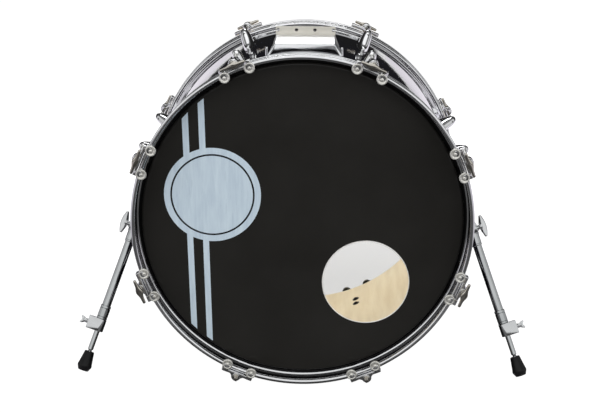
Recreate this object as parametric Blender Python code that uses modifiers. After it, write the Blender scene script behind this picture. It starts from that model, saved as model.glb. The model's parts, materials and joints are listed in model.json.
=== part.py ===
"""Bass drum: shell, two heads, metal hoops, claws, lugs, tension rods, tom bracket and folding spurs.

Metres, +Z up. The drum's axis runs along Y, its resonant (front) side faces -Y and it stands on z = 0.
Pieces of one side are modelled in that side's frame: X across, Y up and Z out of the drum along its axis.
"""

import math

import bmesh
import bpy
from mathutils import Matrix, Vector

OBJECT_NAME = "bass_drum"

# Fits between neighbouring pieces
SEAT_GAP = 0.0003
BORE_GAP = 0.0003
MERGE_DISTANCE = 0.000001
SHARP_ANGLE = math.radians(35)

# Facet counts
RING_SEGMENTS = 64
PORT_SEGMENTS = 48
TUBE_SEGMENTS = 16
FOOT_SEGMENTS = 20
ROD_SEGMENTS = 8
CLAW_FOOT_SEGMENTS = 12
LUG_RING_POINTS = 9
EYE_ARC_POINTS = 6

# Shell: wood cylinder with a bearing edge at both ends
SHELL_RADIUS = 0.278
SHELL_WALL = 0.0075
SHELL_DEPTH = 0.3556
EDGE_ROUND = 0.0018
EDGE_SLOPE = 0.0055

# Heads: film over the bearing edge, drawn down by a flesh hoop around the shell
FILM_THICKNESS = 0.0008
COLLAR_DROP = 0.006
FLESH_CLEARANCE = 0.0015
FLESH_WIDTH = 0.0075
FLESH_HEIGHT = 0.009
PORT_RADIUS = 0.0762
PORT_ACROSS = 0.112
PORT_UP = -0.110

# Hoops: flanged metal rings that press on the flesh hoops
HOOP_CLEARANCE = 0.0035
HOOP_WALL = 0.0045
HOOP_BEAD = 0.002
HOOP_BEAD_WIDTH = 0.0065
HOOP_BEAD_LIP = 0.0015
HOOP_CHAMFER = 0.0012
HOOP_REACH = 0.0262
HOOP_WIDTH = 0.038
HOOP_FLANGE = 0.0025
HOOP_FLANGE_LAP = 0.0045

# Tension stations
STATION_COUNT = 8
KEY_ROD_STATIONS = (4, 5)
ROD_OFFSET = 0.0075

# Claws: an eye for the rod on a bridge, and two round feet on the hoop's edge
CLAW_FOOT_RADIUS = 0.0093
CLAW_FOOT_SPACING = 0.045
CLAW_FOOT_INSET = 0.0084
BATTER_FOOT_INSET = 0.0125
CLAW_FOOT_THICKNESS = 0.0042
CLAW_ARM_WIDTH = 0.011
CLAW_ARM_THICKNESS = 0.0036
CLAW_BRIDGE_WIDTH = 0.0135
CLAW_BRIDGE_FRONT = 0.003
CLAW_BRIDGE_HEIGHT = 0.0055
CLAW_EYE_RADIUS = 0.0085
CLAW_WELD_SINK = 0.0007

# Tension rods
ROD_RADIUS = 0.003
ROD_ENGAGEMENT = 0.028
WASHER_RADIUS = 0.0064
WASHER_THICKNESS = 0.0018
COLLAR_RADIUS = 0.0048
HANDLE_STANDOFF = 0.013
HANDLE_THICKNESS = 0.007
HANDLE_LENGTH = 0.045
HANDLE_TIP = 0.005
HANDLE_NECK = 0.0066
HANDLE_HUB = 0.0124
HANDLE_HUB_LENGTH = 0.019
KEY_COLLAR_LENGTH = 0.002
KEY_HEAD_SIDE = 0.0064
KEY_HEAD_LENGTH = 0.0085

# Lugs: teardrop castings whose tall end faces the hoop
LUG_SETBACK = 0.050
LUG_LENGTH = 0.060
LUG_HALF_WIDTH = 0.0105
LUG_CROWN = 0.009
LUG_NOSE_HEIGHT = 0.0075
LUG_NOSE_HALF_WIDTH = 0.0042
LUG_BORE_SPARE = 0.002
LUG_SECTIONS = 7
LUG_SQUARENESS = 0.65

# Tom bracket: a saddle on top of the shell with an upright drilled flange at its rear
BRACKET_LENGTH = 0.1114
BRACKET_RISE = 0.012
BRACKET_FRONT_WIDTH = 0.109
BRACKET_REAR_WIDTH = 0.110
BRACKET_FRONT_SPREAD = 0.0125
BRACKET_REAR_SPREAD = 0.006
BRACKET_WALL = 0.0025
BRACKET_SKIRT = 0.013
FLANGE_HEIGHT = 0.015
FLANGE_HOLE_COUNT = 4
FLANGE_HOLE_PITCH = 0.034
FLANGE_HOLE_RADIUS = 0.0032
FLANGE_HOLE_UP = 0.0085
FLANGE_HOLE_SEGMENTS = 12

# Spurs: telescoping legs that fold about a wing bolt on a bracket
SPUR_SETBACK = 0.1078
SPUR_STANDOFF = 0.0333
SPUR_ANGLE = math.radians(98.3)
SPUR_SPLAY = math.radians(20.0)
SPUR_RAKE = math.radians(19.3)
SPUR_BASE_ACROSS = 0.046
SPUR_BASE_LENGTH = 0.056
SPUR_BASE_HEIGHT = 0.005
SPUR_BOSS_RADIUS = 0.014
SPUR_HEAD_RADIUS = 0.0125
SPUR_HEAD_HALF = 0.0102
SPUR_SLEEVE_RADIUS = 0.0095
SPUR_SLEEVE_END = 0.030
SPUR_TUBE_RADIUS = 0.008
SPUR_STEP = 0.0015
SPUR_COLLAR_START = 0.156
SPUR_TUBE_LENGTH = 0.180
SPUR_BORE_START = 0.044
PIVOT_BOLT_RADIUS = 0.004
PIVOT_BOLT_GRIP = 0.014
PIVOT_HUB_RADIUS = 0.006
PIVOT_BAR_STANDOFF = 0.0107
PIVOT_BAR_LENGTH = 0.041
PIVOT_BAR_WIDTH = 0.013
PIVOT_BAR_TIP = 0.004
PIVOT_BAR_THICKNESS = 0.0065
CLAMP_LENGTH = 0.023
CLAMP_OUTER = 0.022
CLAMP_HALF_WIDTH = 0.010
CLAMP_ARC_POINTS = 7
CLAMP_SCREW_RADIUS = 0.0025
CLAMP_SCREW_TIP_GAP = 0.0009
CLAMP_WING_LENGTH = 0.014
CLAMP_WING_RISE = 0.012
CLAMP_WING_THICKNESS = 0.0032
CLAMP_WING_TIP = 0.004
CLAMP_HUB_RADIUS = 0.0042
SPUR_ROD_RADIUS = 0.0049
SPUR_ROD_LENGTH = 0.1575
SPUR_NECK_RADIUS = 0.0035
SPUR_NECK_LENGTH = 0.019
SPUR_NECK_SHOWN = 0.0035
FOOT_HEIGHT = 0.036
FOOT_TOP_RADIUS = 0.0088
FOOT_WIDE_RADIUS = 0.013
FOOT_TREAD_RADIUS = 0.0092
FOOT_BEVEL = 0.0075
FOOT_BAND = 0.003

# Places that follow from the sizes above
FACET = math.cos(math.pi / RING_SEGMENTS)
EDGE_PLANE = SHELL_DEPTH / 2
FILM_INSIDE = EDGE_PLANE + SEAT_GAP
FILM_OUTSIDE = FILM_INSIDE + FILM_THICKNESS
FLESH_INNER = SHELL_RADIUS + FLESH_CLEARANCE
FLESH_OUTER = FLESH_INNER + FLESH_WIDTH
FLESH_TOP = EDGE_PLANE - COLLAR_DROP
HOOP_WALL_INNER = FLESH_OUTER + HOOP_CLEARANCE
HOOP_WALL_OUTER = HOOP_WALL_INNER + HOOP_WALL
HOOP_RADIUS = HOOP_WALL_OUTER + HOOP_BEAD
HOOP_FRONT = EDGE_PLANE + HOOP_REACH
HOOP_BACK = HOOP_FRONT - HOOP_WIDTH
AXIS_HEIGHT = HOOP_RADIUS * FACET
ROD_CIRCLE = HOOP_RADIUS + ROD_OFFSET
CLAW_BACK = HOOP_FRONT + SEAT_GAP
CLAW_FACE = CLAW_BACK + CLAW_BRIDGE_FRONT
WASHER_BACK = CLAW_FACE + SEAT_GAP
WASHER_FRONT = WASHER_BACK + WASHER_THICKNESS
LUG_SEAT = SHELL_RADIUS * FACET + SEAT_GAP
LUG_FACE = EDGE_PLANE - LUG_SETBACK
ROD_END = LUG_FACE - ROD_ENGAGEMENT
PIVOT_RADIUS = SHELL_RADIUS + SPUR_STANDOFF
CLAMP_TOP = SPUR_TUBE_LENGTH + SEAT_GAP
SPUR_BORE_RADIUS = (SPUR_ROD_RADIUS + BORE_GAP) / math.cos(math.pi / TUBE_SEGMENTS)


def clear_scene():
    for obj in list(bpy.data.objects):
        bpy.data.objects.remove(obj, do_unlink=True)


def new_collection(name):
    collection = bpy.data.collections.new(name)
    bpy.context.scene.collection.children.link(collection)
    return collection


def principled(name, colour, roughness, metallic):
    material = bpy.data.materials.new(name)
    material.use_nodes = True
    shader = material.node_tree.nodes["Principled BSDF"]
    shader.inputs["Base Color"].default_value = (*colour, 1.0)
    shader.inputs["Roughness"].default_value = roughness
    shader.inputs["Metallic"].default_value = metallic
    return material


def chrome(name, roughness=0.08):
    return principled(name, (0.80, 0.81, 0.83), roughness, 1.0)


# Mesh helpers

def temporary(mesh):
    """An object in the cutters' collection that lives only while a shape is made."""
    obj = bpy.data.objects.new("cutter", mesh)
    obj.hide_render = True
    obj.display_type = "WIRE"
    cutters.objects.link(obj)
    return obj


def evaluated(obj):
    """The object's mesh with its modifiers applied, in the object's own space; the object is removed."""
    bpy.context.view_layer.update()
    depsgraph = bpy.context.evaluated_depsgraph_get()
    mesh = bpy.data.meshes.new_from_object(obj.evaluated_get(depsgraph), depsgraph=depsgraph)
    bpy.data.objects.remove(obj, do_unlink=True)
    return cleaned(mesh)


def cleaned(mesh):
    """Weld the mesh's points and turn its faces outward."""
    work = bmesh.new()
    work.from_mesh(mesh)
    bmesh.ops.remove_doubles(work, verts=work.verts, dist=MERGE_DISTANCE)
    bmesh.ops.recalc_face_normals(work, faces=work.faces)
    work.to_mesh(mesh)
    work.free()
    return mesh


def turned(profile, segments, closed=False, half_step=False):
    """A profile of (radius, height) points, top to bottom on its outer side, turned about Z."""
    mesh = bpy.data.meshes.new("turned")
    count = len(profile)
    edges = [(i, i + 1) for i in range(count - 1)]
    if closed:
        edges.append((count - 1, 0))
    mesh.from_pydata([(radius, 0.0, height) for radius, height in profile], edges, [])
    obj = temporary(mesh)
    screw = obj.modifiers.new("turn", "SCREW")
    screw.steps = segments
    screw.render_steps = segments
    screw.use_merge_vertices = True
    screw.merge_threshold = MERGE_DISTANCE
    result = evaluated(obj)
    if half_step:
        result.transform(Matrix.Rotation(math.pi / segments, 4, "Z"))
    return result


def ring(profile):
    """A turned ring whose flat facets face the tension stations."""
    return turned(profile, RING_SEGMENTS, closed=True, half_step=True)


def cylinder(radius, low, high, segments):
    """A capped cylinder about Z between two heights."""
    work = bmesh.new()
    lift = Matrix.Translation((0.0, 0.0, (low + high) / 2))
    bmesh.ops.create_cone(work, cap_ends=True, segments=segments, radius1=radius, radius2=radius,
                          depth=high - low, matrix=lift)
    mesh = bpy.data.meshes.new("cylinder")
    work.to_mesh(mesh)
    work.free()
    return mesh


def bore(radius, low, high, segments=ROD_SEGMENTS):
    """A cutter for a hole whose facets clear a round piece of this radius by the bore gap."""
    return cylinder((radius + BORE_GAP) / math.cos(math.pi / segments), low, high, segments)


def block(low, high):
    """A box between two corners."""
    work = bmesh.new()
    bmesh.ops.create_cube(work, size=1.0)
    size = [b - a for a, b in zip(low, high)]
    middle = [(a + b) / 2 for a, b in zip(low, high)]
    bmesh.ops.scale(work, vec=size, verts=work.verts)
    bmesh.ops.translate(work, vec=middle, verts=work.verts)
    mesh = bpy.data.meshes.new("block")
    work.to_mesh(mesh)
    work.free()
    return mesh


def extruded(outline, low, high):
    """A flat outline in XY, extruded along Z between two heights."""
    curve = bpy.data.curves.new("outline", "CURVE")
    curve.dimensions = "2D"
    curve.fill_mode = "BOTH"
    curve.extrude = (high - low) / 2
    spline = curve.splines.new("POLY")
    spline.points.add(len(outline) - 1)
    for point, (x, y) in zip(spline.points, outline):
        point.co = (x, y, 0.0, 1.0)
    spline.use_cyclic_u = True
    result = evaluated(temporary(curve))
    result.transform(Matrix.Translation((0.0, 0.0, (low + high) / 2)))
    return result


def loft(sections):
    """A closed solid through sections of equal point counts, capped at both ends."""
    work = bmesh.new()
    rings = [[work.verts.new(point) for point in section] for section in sections]
    for near, far in zip(rings, rings[1:]):
        for i in range(len(near)):
            j = (i + 1) % len(near)
            work.faces.new((near[i], near[j], far[j], far[i]))
    work.faces.new(rings[0])
    work.faces.new(rings[-1])
    mesh = bpy.data.meshes.new("loft")
    work.to_mesh(mesh)
    work.free()
    return cleaned(mesh)


def moved(mesh, matrix):
    mesh.transform(matrix)
    return mesh


def combined(base, others, operation):
    """The base mesh united with, or cut by, the other meshes one after another."""
    for other in others:
        obj = temporary(base)
        tool = temporary(other)
        boolean = obj.modifiers.new("combine", "BOOLEAN")
        boolean.operation = operation
        boolean.solver = "EXACT"
        boolean.object = tool
        base = evaluated(obj)
        bpy.data.objects.remove(tool, do_unlink=True)
    return base


def joined(base, *others):
    return combined(base, others, "UNION")


def cut(base, *others):
    return combined(base, others, "DIFFERENCE")


def along_x(mesh):
    """Turn a mesh made about Z so that its axis points along +X."""
    return moved(mesh, Matrix.Rotation(math.pi / 2, 4, "Y"))


# Frames

def frame_matrix(origin, x_axis, z_axis):
    """The world matrix whose local X and Z point along two perpendicular directions."""
    y_axis = z_axis.cross(x_axis)
    rotation = Matrix((x_axis, y_axis, z_axis)).transposed()
    return Matrix.Translation(origin) @ rotation.to_4x4()


def empty(name, matrix, parent=None):
    obj = bpy.data.objects.new(name, None)
    obj.empty_display_size = 0.03
    obj.parent = parent
    obj.matrix_basis = matrix
    parts.objects.link(obj)
    return obj


def part(name, mesh, material, parent, matrix=None):
    """A named sub-part; copies of a repeated piece share their mesh."""
    if not mesh.materials:
        mesh.materials.append(material)
        mesh.shade_smooth()
        mesh.set_sharp_from_angle(angle=SHARP_ANGLE)
    obj = bpy.data.objects.new(name, mesh)
    obj.parent = parent
    if matrix is not None:
        obj.matrix_basis = matrix
    parts.objects.link(obj)
    return obj


def station_angle(index):
    """Clockwise angle from the top of tension station 1, 2, 3 and so on, seen from its own side."""
    return math.tau / STATION_COUNT * (index - 0.5)


# Shell and heads

def shell_mesh():
    inner = SHELL_RADIUS - SHELL_WALL
    slope = min(EDGE_SLOPE, SHELL_WALL - EDGE_ROUND)
    profile = [
        (SHELL_RADIUS - EDGE_ROUND, EDGE_PLANE),
        (SHELL_RADIUS, EDGE_PLANE - EDGE_ROUND),
        (SHELL_RADIUS, EDGE_ROUND - EDGE_PLANE),
        (SHELL_RADIUS - EDGE_ROUND, -EDGE_PLANE),
        (inner, slope - EDGE_PLANE),
        (inner, EDGE_PLANE - slope),
    ]
    return ring(profile)


def shell_cutter():
    """The space that the shell takes, with the seat gap around it."""
    radius = SHELL_RADIUS + SEAT_GAP
    mesh = cylinder(radius, -EDGE_PLANE, EDGE_PLANE, RING_SEGMENTS)
    mesh.transform(Matrix.Rotation(math.pi / RING_SEGMENTS - math.pi / 2, 4, "Z"))
    return mesh


def head_mesh():
    """A film over the bearing edge, with a collar down to the flesh hoop that holds it."""
    bend = SHELL_RADIUS - EDGE_ROUND
    shoulder = EDGE_PLANE - EDGE_ROUND
    collar = FLESH_INNER + FILM_THICKNESS
    flesh_bottom = FLESH_TOP - FLESH_HEIGHT
    profile = [
        (0.0, FILM_OUTSIDE),
        (bend, FILM_OUTSIDE),
        (collar, shoulder + FILM_THICKNESS / 2),
        (collar, FLESH_TOP),
        (FLESH_OUTER, FLESH_TOP),
        (FLESH_OUTER, flesh_bottom),
        (FLESH_INNER, flesh_bottom),
        (FLESH_INNER, shoulder),
        (bend, FILM_INSIDE),
        (0.0, FILM_INSIDE),
    ]
    return turned(profile, RING_SEGMENTS, half_step=True)


def port_cutter():
    mesh = cylinder(PORT_RADIUS, EDGE_PLANE - FLESH_HEIGHT, FILM_OUTSIDE + FLESH_HEIGHT, PORT_SEGMENTS)
    return moved(mesh, Matrix.Translation((PORT_ACROSS, PORT_UP, 0.0)))


# Hoops and claws

def hoop_mesh():
    lip = HOOP_WALL_INNER - HOOP_BEAD_LIP
    bead_foot = HOOP_FRONT - HOOP_BEAD_WIDTH
    flange_inner = FLESH_OUTER - HOOP_FLANGE_LAP
    flange_back = FLESH_TOP + SEAT_GAP
    flange_front = flange_back + HOOP_FLANGE
    profile = [
        (lip + HOOP_CHAMFER, HOOP_FRONT),
        (HOOP_RADIUS - HOOP_CHAMFER, HOOP_FRONT),
        (HOOP_RADIUS, HOOP_FRONT - HOOP_CHAMFER),
        (HOOP_RADIUS, bead_foot),
        (HOOP_WALL_OUTER, bead_foot - HOOP_BEAD),
        (HOOP_WALL_OUTER, HOOP_BACK),
        (HOOP_WALL_INNER, HOOP_BACK),
        (HOOP_WALL_INNER, flange_back),
        (flange_inner, flange_back),
        (flange_inner, flange_front),
        (HOOP_WALL_INNER, flange_front),
        (HOOP_WALL_INNER, bead_foot),
        (lip, bead_foot + HOOP_BEAD_LIP),
        (lip, HOOP_FRONT - HOOP_CHAMFER),
    ]
    return ring(profile)


def claw_mesh(foot_inset, sink=0.0):
    """One claw in a station's frame: X along the hoop, Y away from the axis, Z out of the drum.

    Its feet sit this far in from the hoop's edge. A positive sink sets the claw that deep into the hoop,
    so that the two can be united.
    """
    seat = HOOP_RADIUS + SEAT_GAP - sink
    back = CLAW_BACK - sink
    end = CLAW_FOOT_SPACING / 2 + CLAW_ARM_WIDTH / 2 + SEAT_GAP
    top = seat + CLAW_BRIDGE_HEIGHT
    outline = [(-end, top), (-end, seat), (end, seat), (end, top)]
    for i in range(EYE_ARC_POINTS):
        angle = math.pi * (i + 0.5) / EYE_ARC_POINTS
        outline.append((CLAW_EYE_RADIUS * math.cos(angle), ROD_CIRCLE + CLAW_EYE_RADIUS * math.sin(angle)))
    bridge = extruded(outline, CLAW_FACE - CLAW_BRIDGE_WIDTH, CLAW_FACE)
    foot_up = HOOP_RADIUS - foot_inset
    pieces = []
    for side in (-1, 1):
        across = side * CLAW_FOOT_SPACING / 2
        arm_low = (across - CLAW_ARM_WIDTH / 2, foot_up, back + SEAT_GAP)
        arm_high = (across + CLAW_ARM_WIDTH / 2, top - SEAT_GAP, CLAW_BACK + CLAW_ARM_THICKNESS)
        pieces.append(block(arm_low, arm_high))
        foot = cylinder(CLAW_FOOT_RADIUS, back, CLAW_BACK + CLAW_FOOT_THICKNESS, CLAW_FOOT_SEGMENTS)
        pieces.append(moved(foot, Matrix.Translation((across, foot_up, 0.0))))
    eye = bore(ROD_RADIUS, HOOP_BACK, CLAW_FACE + CLAW_BRIDGE_WIDTH)
    eye.transform(Matrix.Translation((0.0, ROD_CIRCLE, 0.0)))
    return cut(joined(bridge, *pieces), eye)


def clawed_hoop_mesh():
    """The batter hoop with its own claws united to it."""
    hoop = hoop_mesh()
    claws = []
    for index in range(1, STATION_COUNT + 1):
        turn = Matrix.Rotation(-station_angle(index), 4, "Z")
        claws.append(moved(claw_mesh(BATTER_FOOT_INSET, CLAW_WELD_SINK), turn))
    return joined(hoop, *claws)


# Tension rods and lugs

def rod_shaft(head_height, collar_radius):
    """The turned part of a rod about its own axis: collar, washer and threaded shank."""
    profile = [
        (0.0, head_height),
        (collar_radius, head_height),
        (collar_radius, WASHER_FRONT),
        (WASHER_RADIUS, WASHER_FRONT),
        (WASHER_RADIUS, WASHER_BACK),
        (ROD_RADIUS, WASHER_BACK),
        (ROD_RADIUS, ROD_END),
        (0.0, ROD_END),
    ]
    return turned(profile, ROD_SEGMENTS)


def t_rod_mesh():
    back = CLAW_FACE + HANDLE_STANDOFF
    front = back + HANDLE_THICKNESS
    tip = HANDLE_LENGTH / 2
    neck = HANDLE_HUB_LENGTH / 2
    outline = [
        (tip, -HANDLE_TIP / 2),
        (tip, HANDLE_TIP / 2),
        (neck, HANDLE_NECK / 2),
        (0.0, HANDLE_HUB / 2),
        (-neck, HANDLE_NECK / 2),
        (-tip, HANDLE_TIP / 2),
        (-tip, -HANDLE_TIP / 2),
        (-neck, -HANDLE_NECK / 2),
        (0.0, -HANDLE_HUB / 2),
        (neck, -HANDLE_NECK / 2),
    ]
    return joined(extruded(outline, back, front), rod_shaft((back + front) / 2, COLLAR_RADIUS))


def key_rod_mesh():
    base = WASHER_FRONT + KEY_COLLAR_LENGTH
    half = KEY_HEAD_SIDE / 2
    head = block((-half, -half, WASHER_FRONT + KEY_COLLAR_LENGTH / 2), (half, half, base + KEY_HEAD_LENGTH))
    return joined(head, rod_shaft(base, COLLAR_RADIUS))


def lug_mesh():
    """A teardrop lofted from its tall face, at the hoop's end, down to its low nose."""
    tall = ROD_CIRCLE + LUG_CROWN - LUG_SEAT
    sections = []
    for step in range(LUG_SECTIONS):
        share = step / (LUG_SECTIONS - 1)
        fall = 0.5 - 0.5 * math.cos(math.pi * share)
        height = tall + (LUG_NOSE_HEIGHT - tall) * fall
        width = LUG_HALF_WIDTH + (LUG_NOSE_HALF_WIDTH - LUG_HALF_WIDTH) * share ** 3
        section = []
        for i in range(LUG_RING_POINTS):
            angle = math.pi * i / (LUG_RING_POINTS - 1)
            across = math.copysign(abs(math.cos(angle)) ** LUG_SQUARENESS, math.cos(angle))
            section.append((width * across, LUG_SEAT + height * math.sin(angle), LUG_FACE - LUG_LENGTH * share))
        sections.append(section)
    hole = bore(ROD_RADIUS, ROD_END - LUG_BORE_SPARE, LUG_FACE + LUG_LENGTH)
    hole.transform(Matrix.Translation((0.0, ROD_CIRCLE, 0.0)))
    return cut(loft(sections), hole)


# Tom bracket

def bracket_section(width, spread, depth, wall):
    """The saddle's outline at one depth: a flat top and skirts that spread downwards, as (x, y, z) points."""
    top = SHELL_RADIUS + BRACKET_RISE - wall
    bottom = SHELL_RADIUS - BRACKET_SKIRT
    half = width / 2 - wall
    foot = half + spread * (top - bottom) / (BRACKET_RISE + BRACKET_SKIRT)
    return [(-foot, bottom, depth), (-half, top, depth), (half, top, depth), (foot, bottom, depth)]


def bracket_mesh():
    """The bracket in the front side's frame, where Z points to the front."""
    front = BRACKET_LENGTH / 2
    outside = loft([
        bracket_section(BRACKET_FRONT_WIDTH, BRACKET_FRONT_SPREAD, front, 0.0),
        bracket_section(BRACKET_REAR_WIDTH, BRACKET_REAR_SPREAD, -front, 0.0),
    ])
    hollow_front = front - BRACKET_WALL
    hollow = loft([
        bracket_section(BRACKET_FRONT_WIDTH, BRACKET_FRONT_SPREAD, hollow_front, BRACKET_WALL),
        bracket_section(BRACKET_REAR_WIDTH, BRACKET_REAR_SPREAD, -hollow_front, BRACKET_WALL),
    ])
    hollow.transform(Matrix.Translation((0.0, -SEAT_GAP, 0.0)))
    saddle = cut(outside, hollow, shell_cutter())
    flange_top = SHELL_RADIUS + BRACKET_RISE + FLANGE_HEIGHT
    flange_half = BRACKET_REAR_WIDTH / 2
    flange_low = (-flange_half, SHELL_RADIUS + BRACKET_RISE - BRACKET_WALL / 2, -front)
    flange_high = (flange_half, flange_top, BRACKET_WALL - front)
    holes = []
    for i in range(FLANGE_HOLE_COUNT):
        across = FLANGE_HOLE_PITCH * (i - (FLANGE_HOLE_COUNT - 1) / 2)
        hole = cylinder(FLANGE_HOLE_RADIUS, -BRACKET_LENGTH, 0.0, FLANGE_HOLE_SEGMENTS)
        up = SHELL_RADIUS + BRACKET_RISE + FLANGE_HOLE_UP
        holes.append(moved(hole, Matrix.Translation((across, up, 0.0))))
    return joined(cut(block(flange_low, flange_high), *holes), saddle)


# Spurs, in the leg's frame: X out along the wing bolt, Z up along the leg, origin where the two cross

def leg_mesh():
    profile = [
        (0.0, -SPUR_STEP),
        (SPUR_SLEEVE_RADIUS, -SPUR_STEP),
        (SPUR_SLEEVE_RADIUS, -SPUR_SLEEVE_END),
        (SPUR_TUBE_RADIUS, -SPUR_SLEEVE_END - SPUR_STEP),
        (SPUR_TUBE_RADIUS, SPUR_STEP - SPUR_COLLAR_START),
        (SPUR_SLEEVE_RADIUS, -SPUR_COLLAR_START),
        (SPUR_SLEEVE_RADIUS, -SPUR_TUBE_LENGTH),
        (SPUR_BORE_RADIUS, -SPUR_TUBE_LENGTH),
        (SPUR_BORE_RADIUS, -SPUR_BORE_START),
        (0.0, -SPUR_BORE_START),
    ]
    head = along_x(cylinder(SPUR_HEAD_RADIUS, -SPUR_HEAD_HALF, SPUR_HEAD_HALF, TUBE_SEGMENTS))
    hole = along_x(bore(PIVOT_BOLT_RADIUS, -SPUR_TUBE_LENGTH, SPUR_TUBE_LENGTH))
    return cut(joined(turned(profile, TUBE_SEGMENTS), head), hole)


def wing_outline(length, base, rise, tip):
    """A wing's outline, swept up to a blunt tip at both ends."""
    half = length / 2
    top = base + rise
    return [
        (-half, top - tip),
        (-half / 3, base),
        (half / 3, base),
        (half, top - tip),
        (half, top),
        (half / 4, top - tip / 2),
        (-half / 4, top - tip / 2),
        (-half, top),
    ]


def bar_outline(length, centre, width, tip):
    """A thumb bar's outline: widest at its middle, with a bowed outer edge and a blunt tip at both ends."""
    half = length / 2
    return [
        (-half, centre - tip / 2),
        (-half / 3, centre - width / 2),
        (half / 3, centre - width / 2),
        (half, centre - tip / 2),
        (half, centre + tip / 2),
        (half / 2, centre + 0.4 * width),
        (0.0, centre + width / 2),
        (-half / 2, centre + 0.4 * width),
        (-half, centre + tip / 2),
    ]


def winged_screw(tip, shoulder, radius, hub, wing):
    """A screw along +X with a hub (radius, end) and a wing (outline, thickness) above its shoulder."""
    hub_radius, hub_end = hub
    outline, thickness = wing
    profile = [
        (0.0, hub_end),
        (hub_radius, hub_end),
        (hub_radius, shoulder),
        (radius, shoulder),
        (radius, tip),
        (0.0, tip),
    ]
    flat = extruded(outline, -thickness / 2, thickness / 2)
    stand = Matrix.Rotation(math.pi / 2, 4, "X")
    return along_x(joined(turned(profile, ROD_SEGMENTS + 2), moved(flat, stand)))


def pivot_bolt_mesh():
    tip = -SPUR_HEAD_HALF - PIVOT_BOLT_GRIP
    shoulder = SPUR_HEAD_HALF + SEAT_GAP
    centre = shoulder + PIVOT_BAR_STANDOFF
    bar = bar_outline(PIVOT_BAR_LENGTH, centre, PIVOT_BAR_WIDTH, PIVOT_BAR_TIP)
    hub = (PIVOT_HUB_RADIUS, centre)
    return winged_screw(tip, shoulder, PIVOT_BOLT_RADIUS, hub, (bar, PIVOT_BAR_THICKNESS))


def clamp_mesh():
    """The block under the tube that grips the inner rod; its flat outer end carries the wing screw."""
    outline = [(0.0, -CLAMP_HALF_WIDTH), (CLAMP_OUTER, -CLAMP_HALF_WIDTH)]
    outline += [(CLAMP_OUTER, CLAMP_HALF_WIDTH), (0.0, CLAMP_HALF_WIDTH)]
    for i in range(1, CLAMP_ARC_POINTS - 1):
        angle = math.pi / 2 + math.pi * i / (CLAMP_ARC_POINTS - 1)
        outline.append((CLAMP_HALF_WIDTH * math.cos(angle), CLAMP_HALF_WIDTH * math.sin(angle)))
    body = extruded(outline, -CLAMP_TOP - CLAMP_LENGTH, -CLAMP_TOP)
    rod_hole = bore(SPUR_ROD_RADIUS, -CLAMP_TOP - 2 * CLAMP_LENGTH, 0.0, TUBE_SEGMENTS)
    screw_hole = along_x(bore(CLAMP_SCREW_RADIUS, 0.0, 2 * CLAMP_OUTER))
    screw_hole.transform(Matrix.Translation((0.0, 0.0, -CLAMP_TOP - CLAMP_LENGTH / 2)))
    return cut(body, rod_hole, screw_hole)


def clamp_screw_mesh():
    tip = SPUR_ROD_RADIUS + CLAMP_SCREW_TIP_GAP
    shoulder = CLAMP_OUTER + SEAT_GAP
    wing = wing_outline(CLAMP_WING_LENGTH, shoulder + SPUR_STEP, CLAMP_WING_RISE, CLAMP_WING_TIP)
    hub = (CLAMP_HUB_RADIUS, shoulder + CLAMP_WING_RISE - CLAMP_WING_TIP)
    return winged_screw(tip, shoulder, CLAMP_SCREW_RADIUS, hub, (wing, CLAMP_WING_THICKNESS))


def rod_shoulder(tread):
    """How far down the leg the inner rod ends, drawn out until its foot's tread meets the floor."""
    return tread - FOOT_HEIGHT - SPUR_NECK_SHOWN


def spur_rod_mesh(tread):
    shoulder = rod_shoulder(tread)
    top = shoulder - SPUR_ROD_LENGTH
    profile = [
        (0.0, -top),
        (SPUR_ROD_RADIUS, -top),
        (SPUR_ROD_RADIUS, -shoulder),
        (SPUR_NECK_RADIUS, -shoulder),
        (SPUR_NECK_RADIUS, -shoulder - SPUR_NECK_LENGTH),
        (0.0, -shoulder - SPUR_NECK_LENGTH),
    ]
    return turned(profile, TUBE_SEGMENTS)


def foot_mesh(tread):
    """The rubber foot, whose tread lies this far down the leg."""
    top = tread - FOOT_HEIGHT
    socket = rod_shoulder(tread) + SPUR_NECK_LENGTH + BORE_GAP
    socket_radius = (SPUR_NECK_RADIUS + BORE_GAP) / math.cos(math.pi / FOOT_SEGMENTS)
    bevel = tread - FOOT_BEVEL
    profile = [
        (0.0, -socket),
        (socket_radius, -socket),
        (socket_radius, -top),
        (FOOT_TOP_RADIUS, -top),
        (FOOT_WIDE_RADIUS, FOOT_BAND - bevel),
        (FOOT_WIDE_RADIUS, -bevel),
        (FOOT_TREAD_RADIUS, -tread),
        (0.0, -tread),
    ]
    return turned(profile, FOOT_SEGMENTS)


def spur_frame(side):
    """The leg's frame for the +X (1) or -X (-1) side, and how far down the leg its tread meets the floor."""
    pivot = Vector((side * PIVOT_RADIUS * math.sin(SPUR_ANGLE), SPUR_SETBACK - EDGE_PLANE,
                    AXIS_HEIGHT + PIVOT_RADIUS * math.cos(SPUR_ANGLE)))
    bolt = Vector((side * math.cos(SPUR_SPLAY), 0.0, math.sin(SPUR_SPLAY)))
    upright = Vector((-side * math.sin(SPUR_SPLAY), 0.0, math.cos(SPUR_SPLAY)))
    leg = upright * math.cos(SPUR_RAKE) + Vector((0.0, 1.0, 0.0)) * math.sin(SPUR_RAKE)
    tread = (pivot.z - FOOT_TREAD_RADIUS * math.sqrt(1.0 - leg.z ** 2)) / leg.z
    return frame_matrix(pivot, bolt, leg), tread


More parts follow.
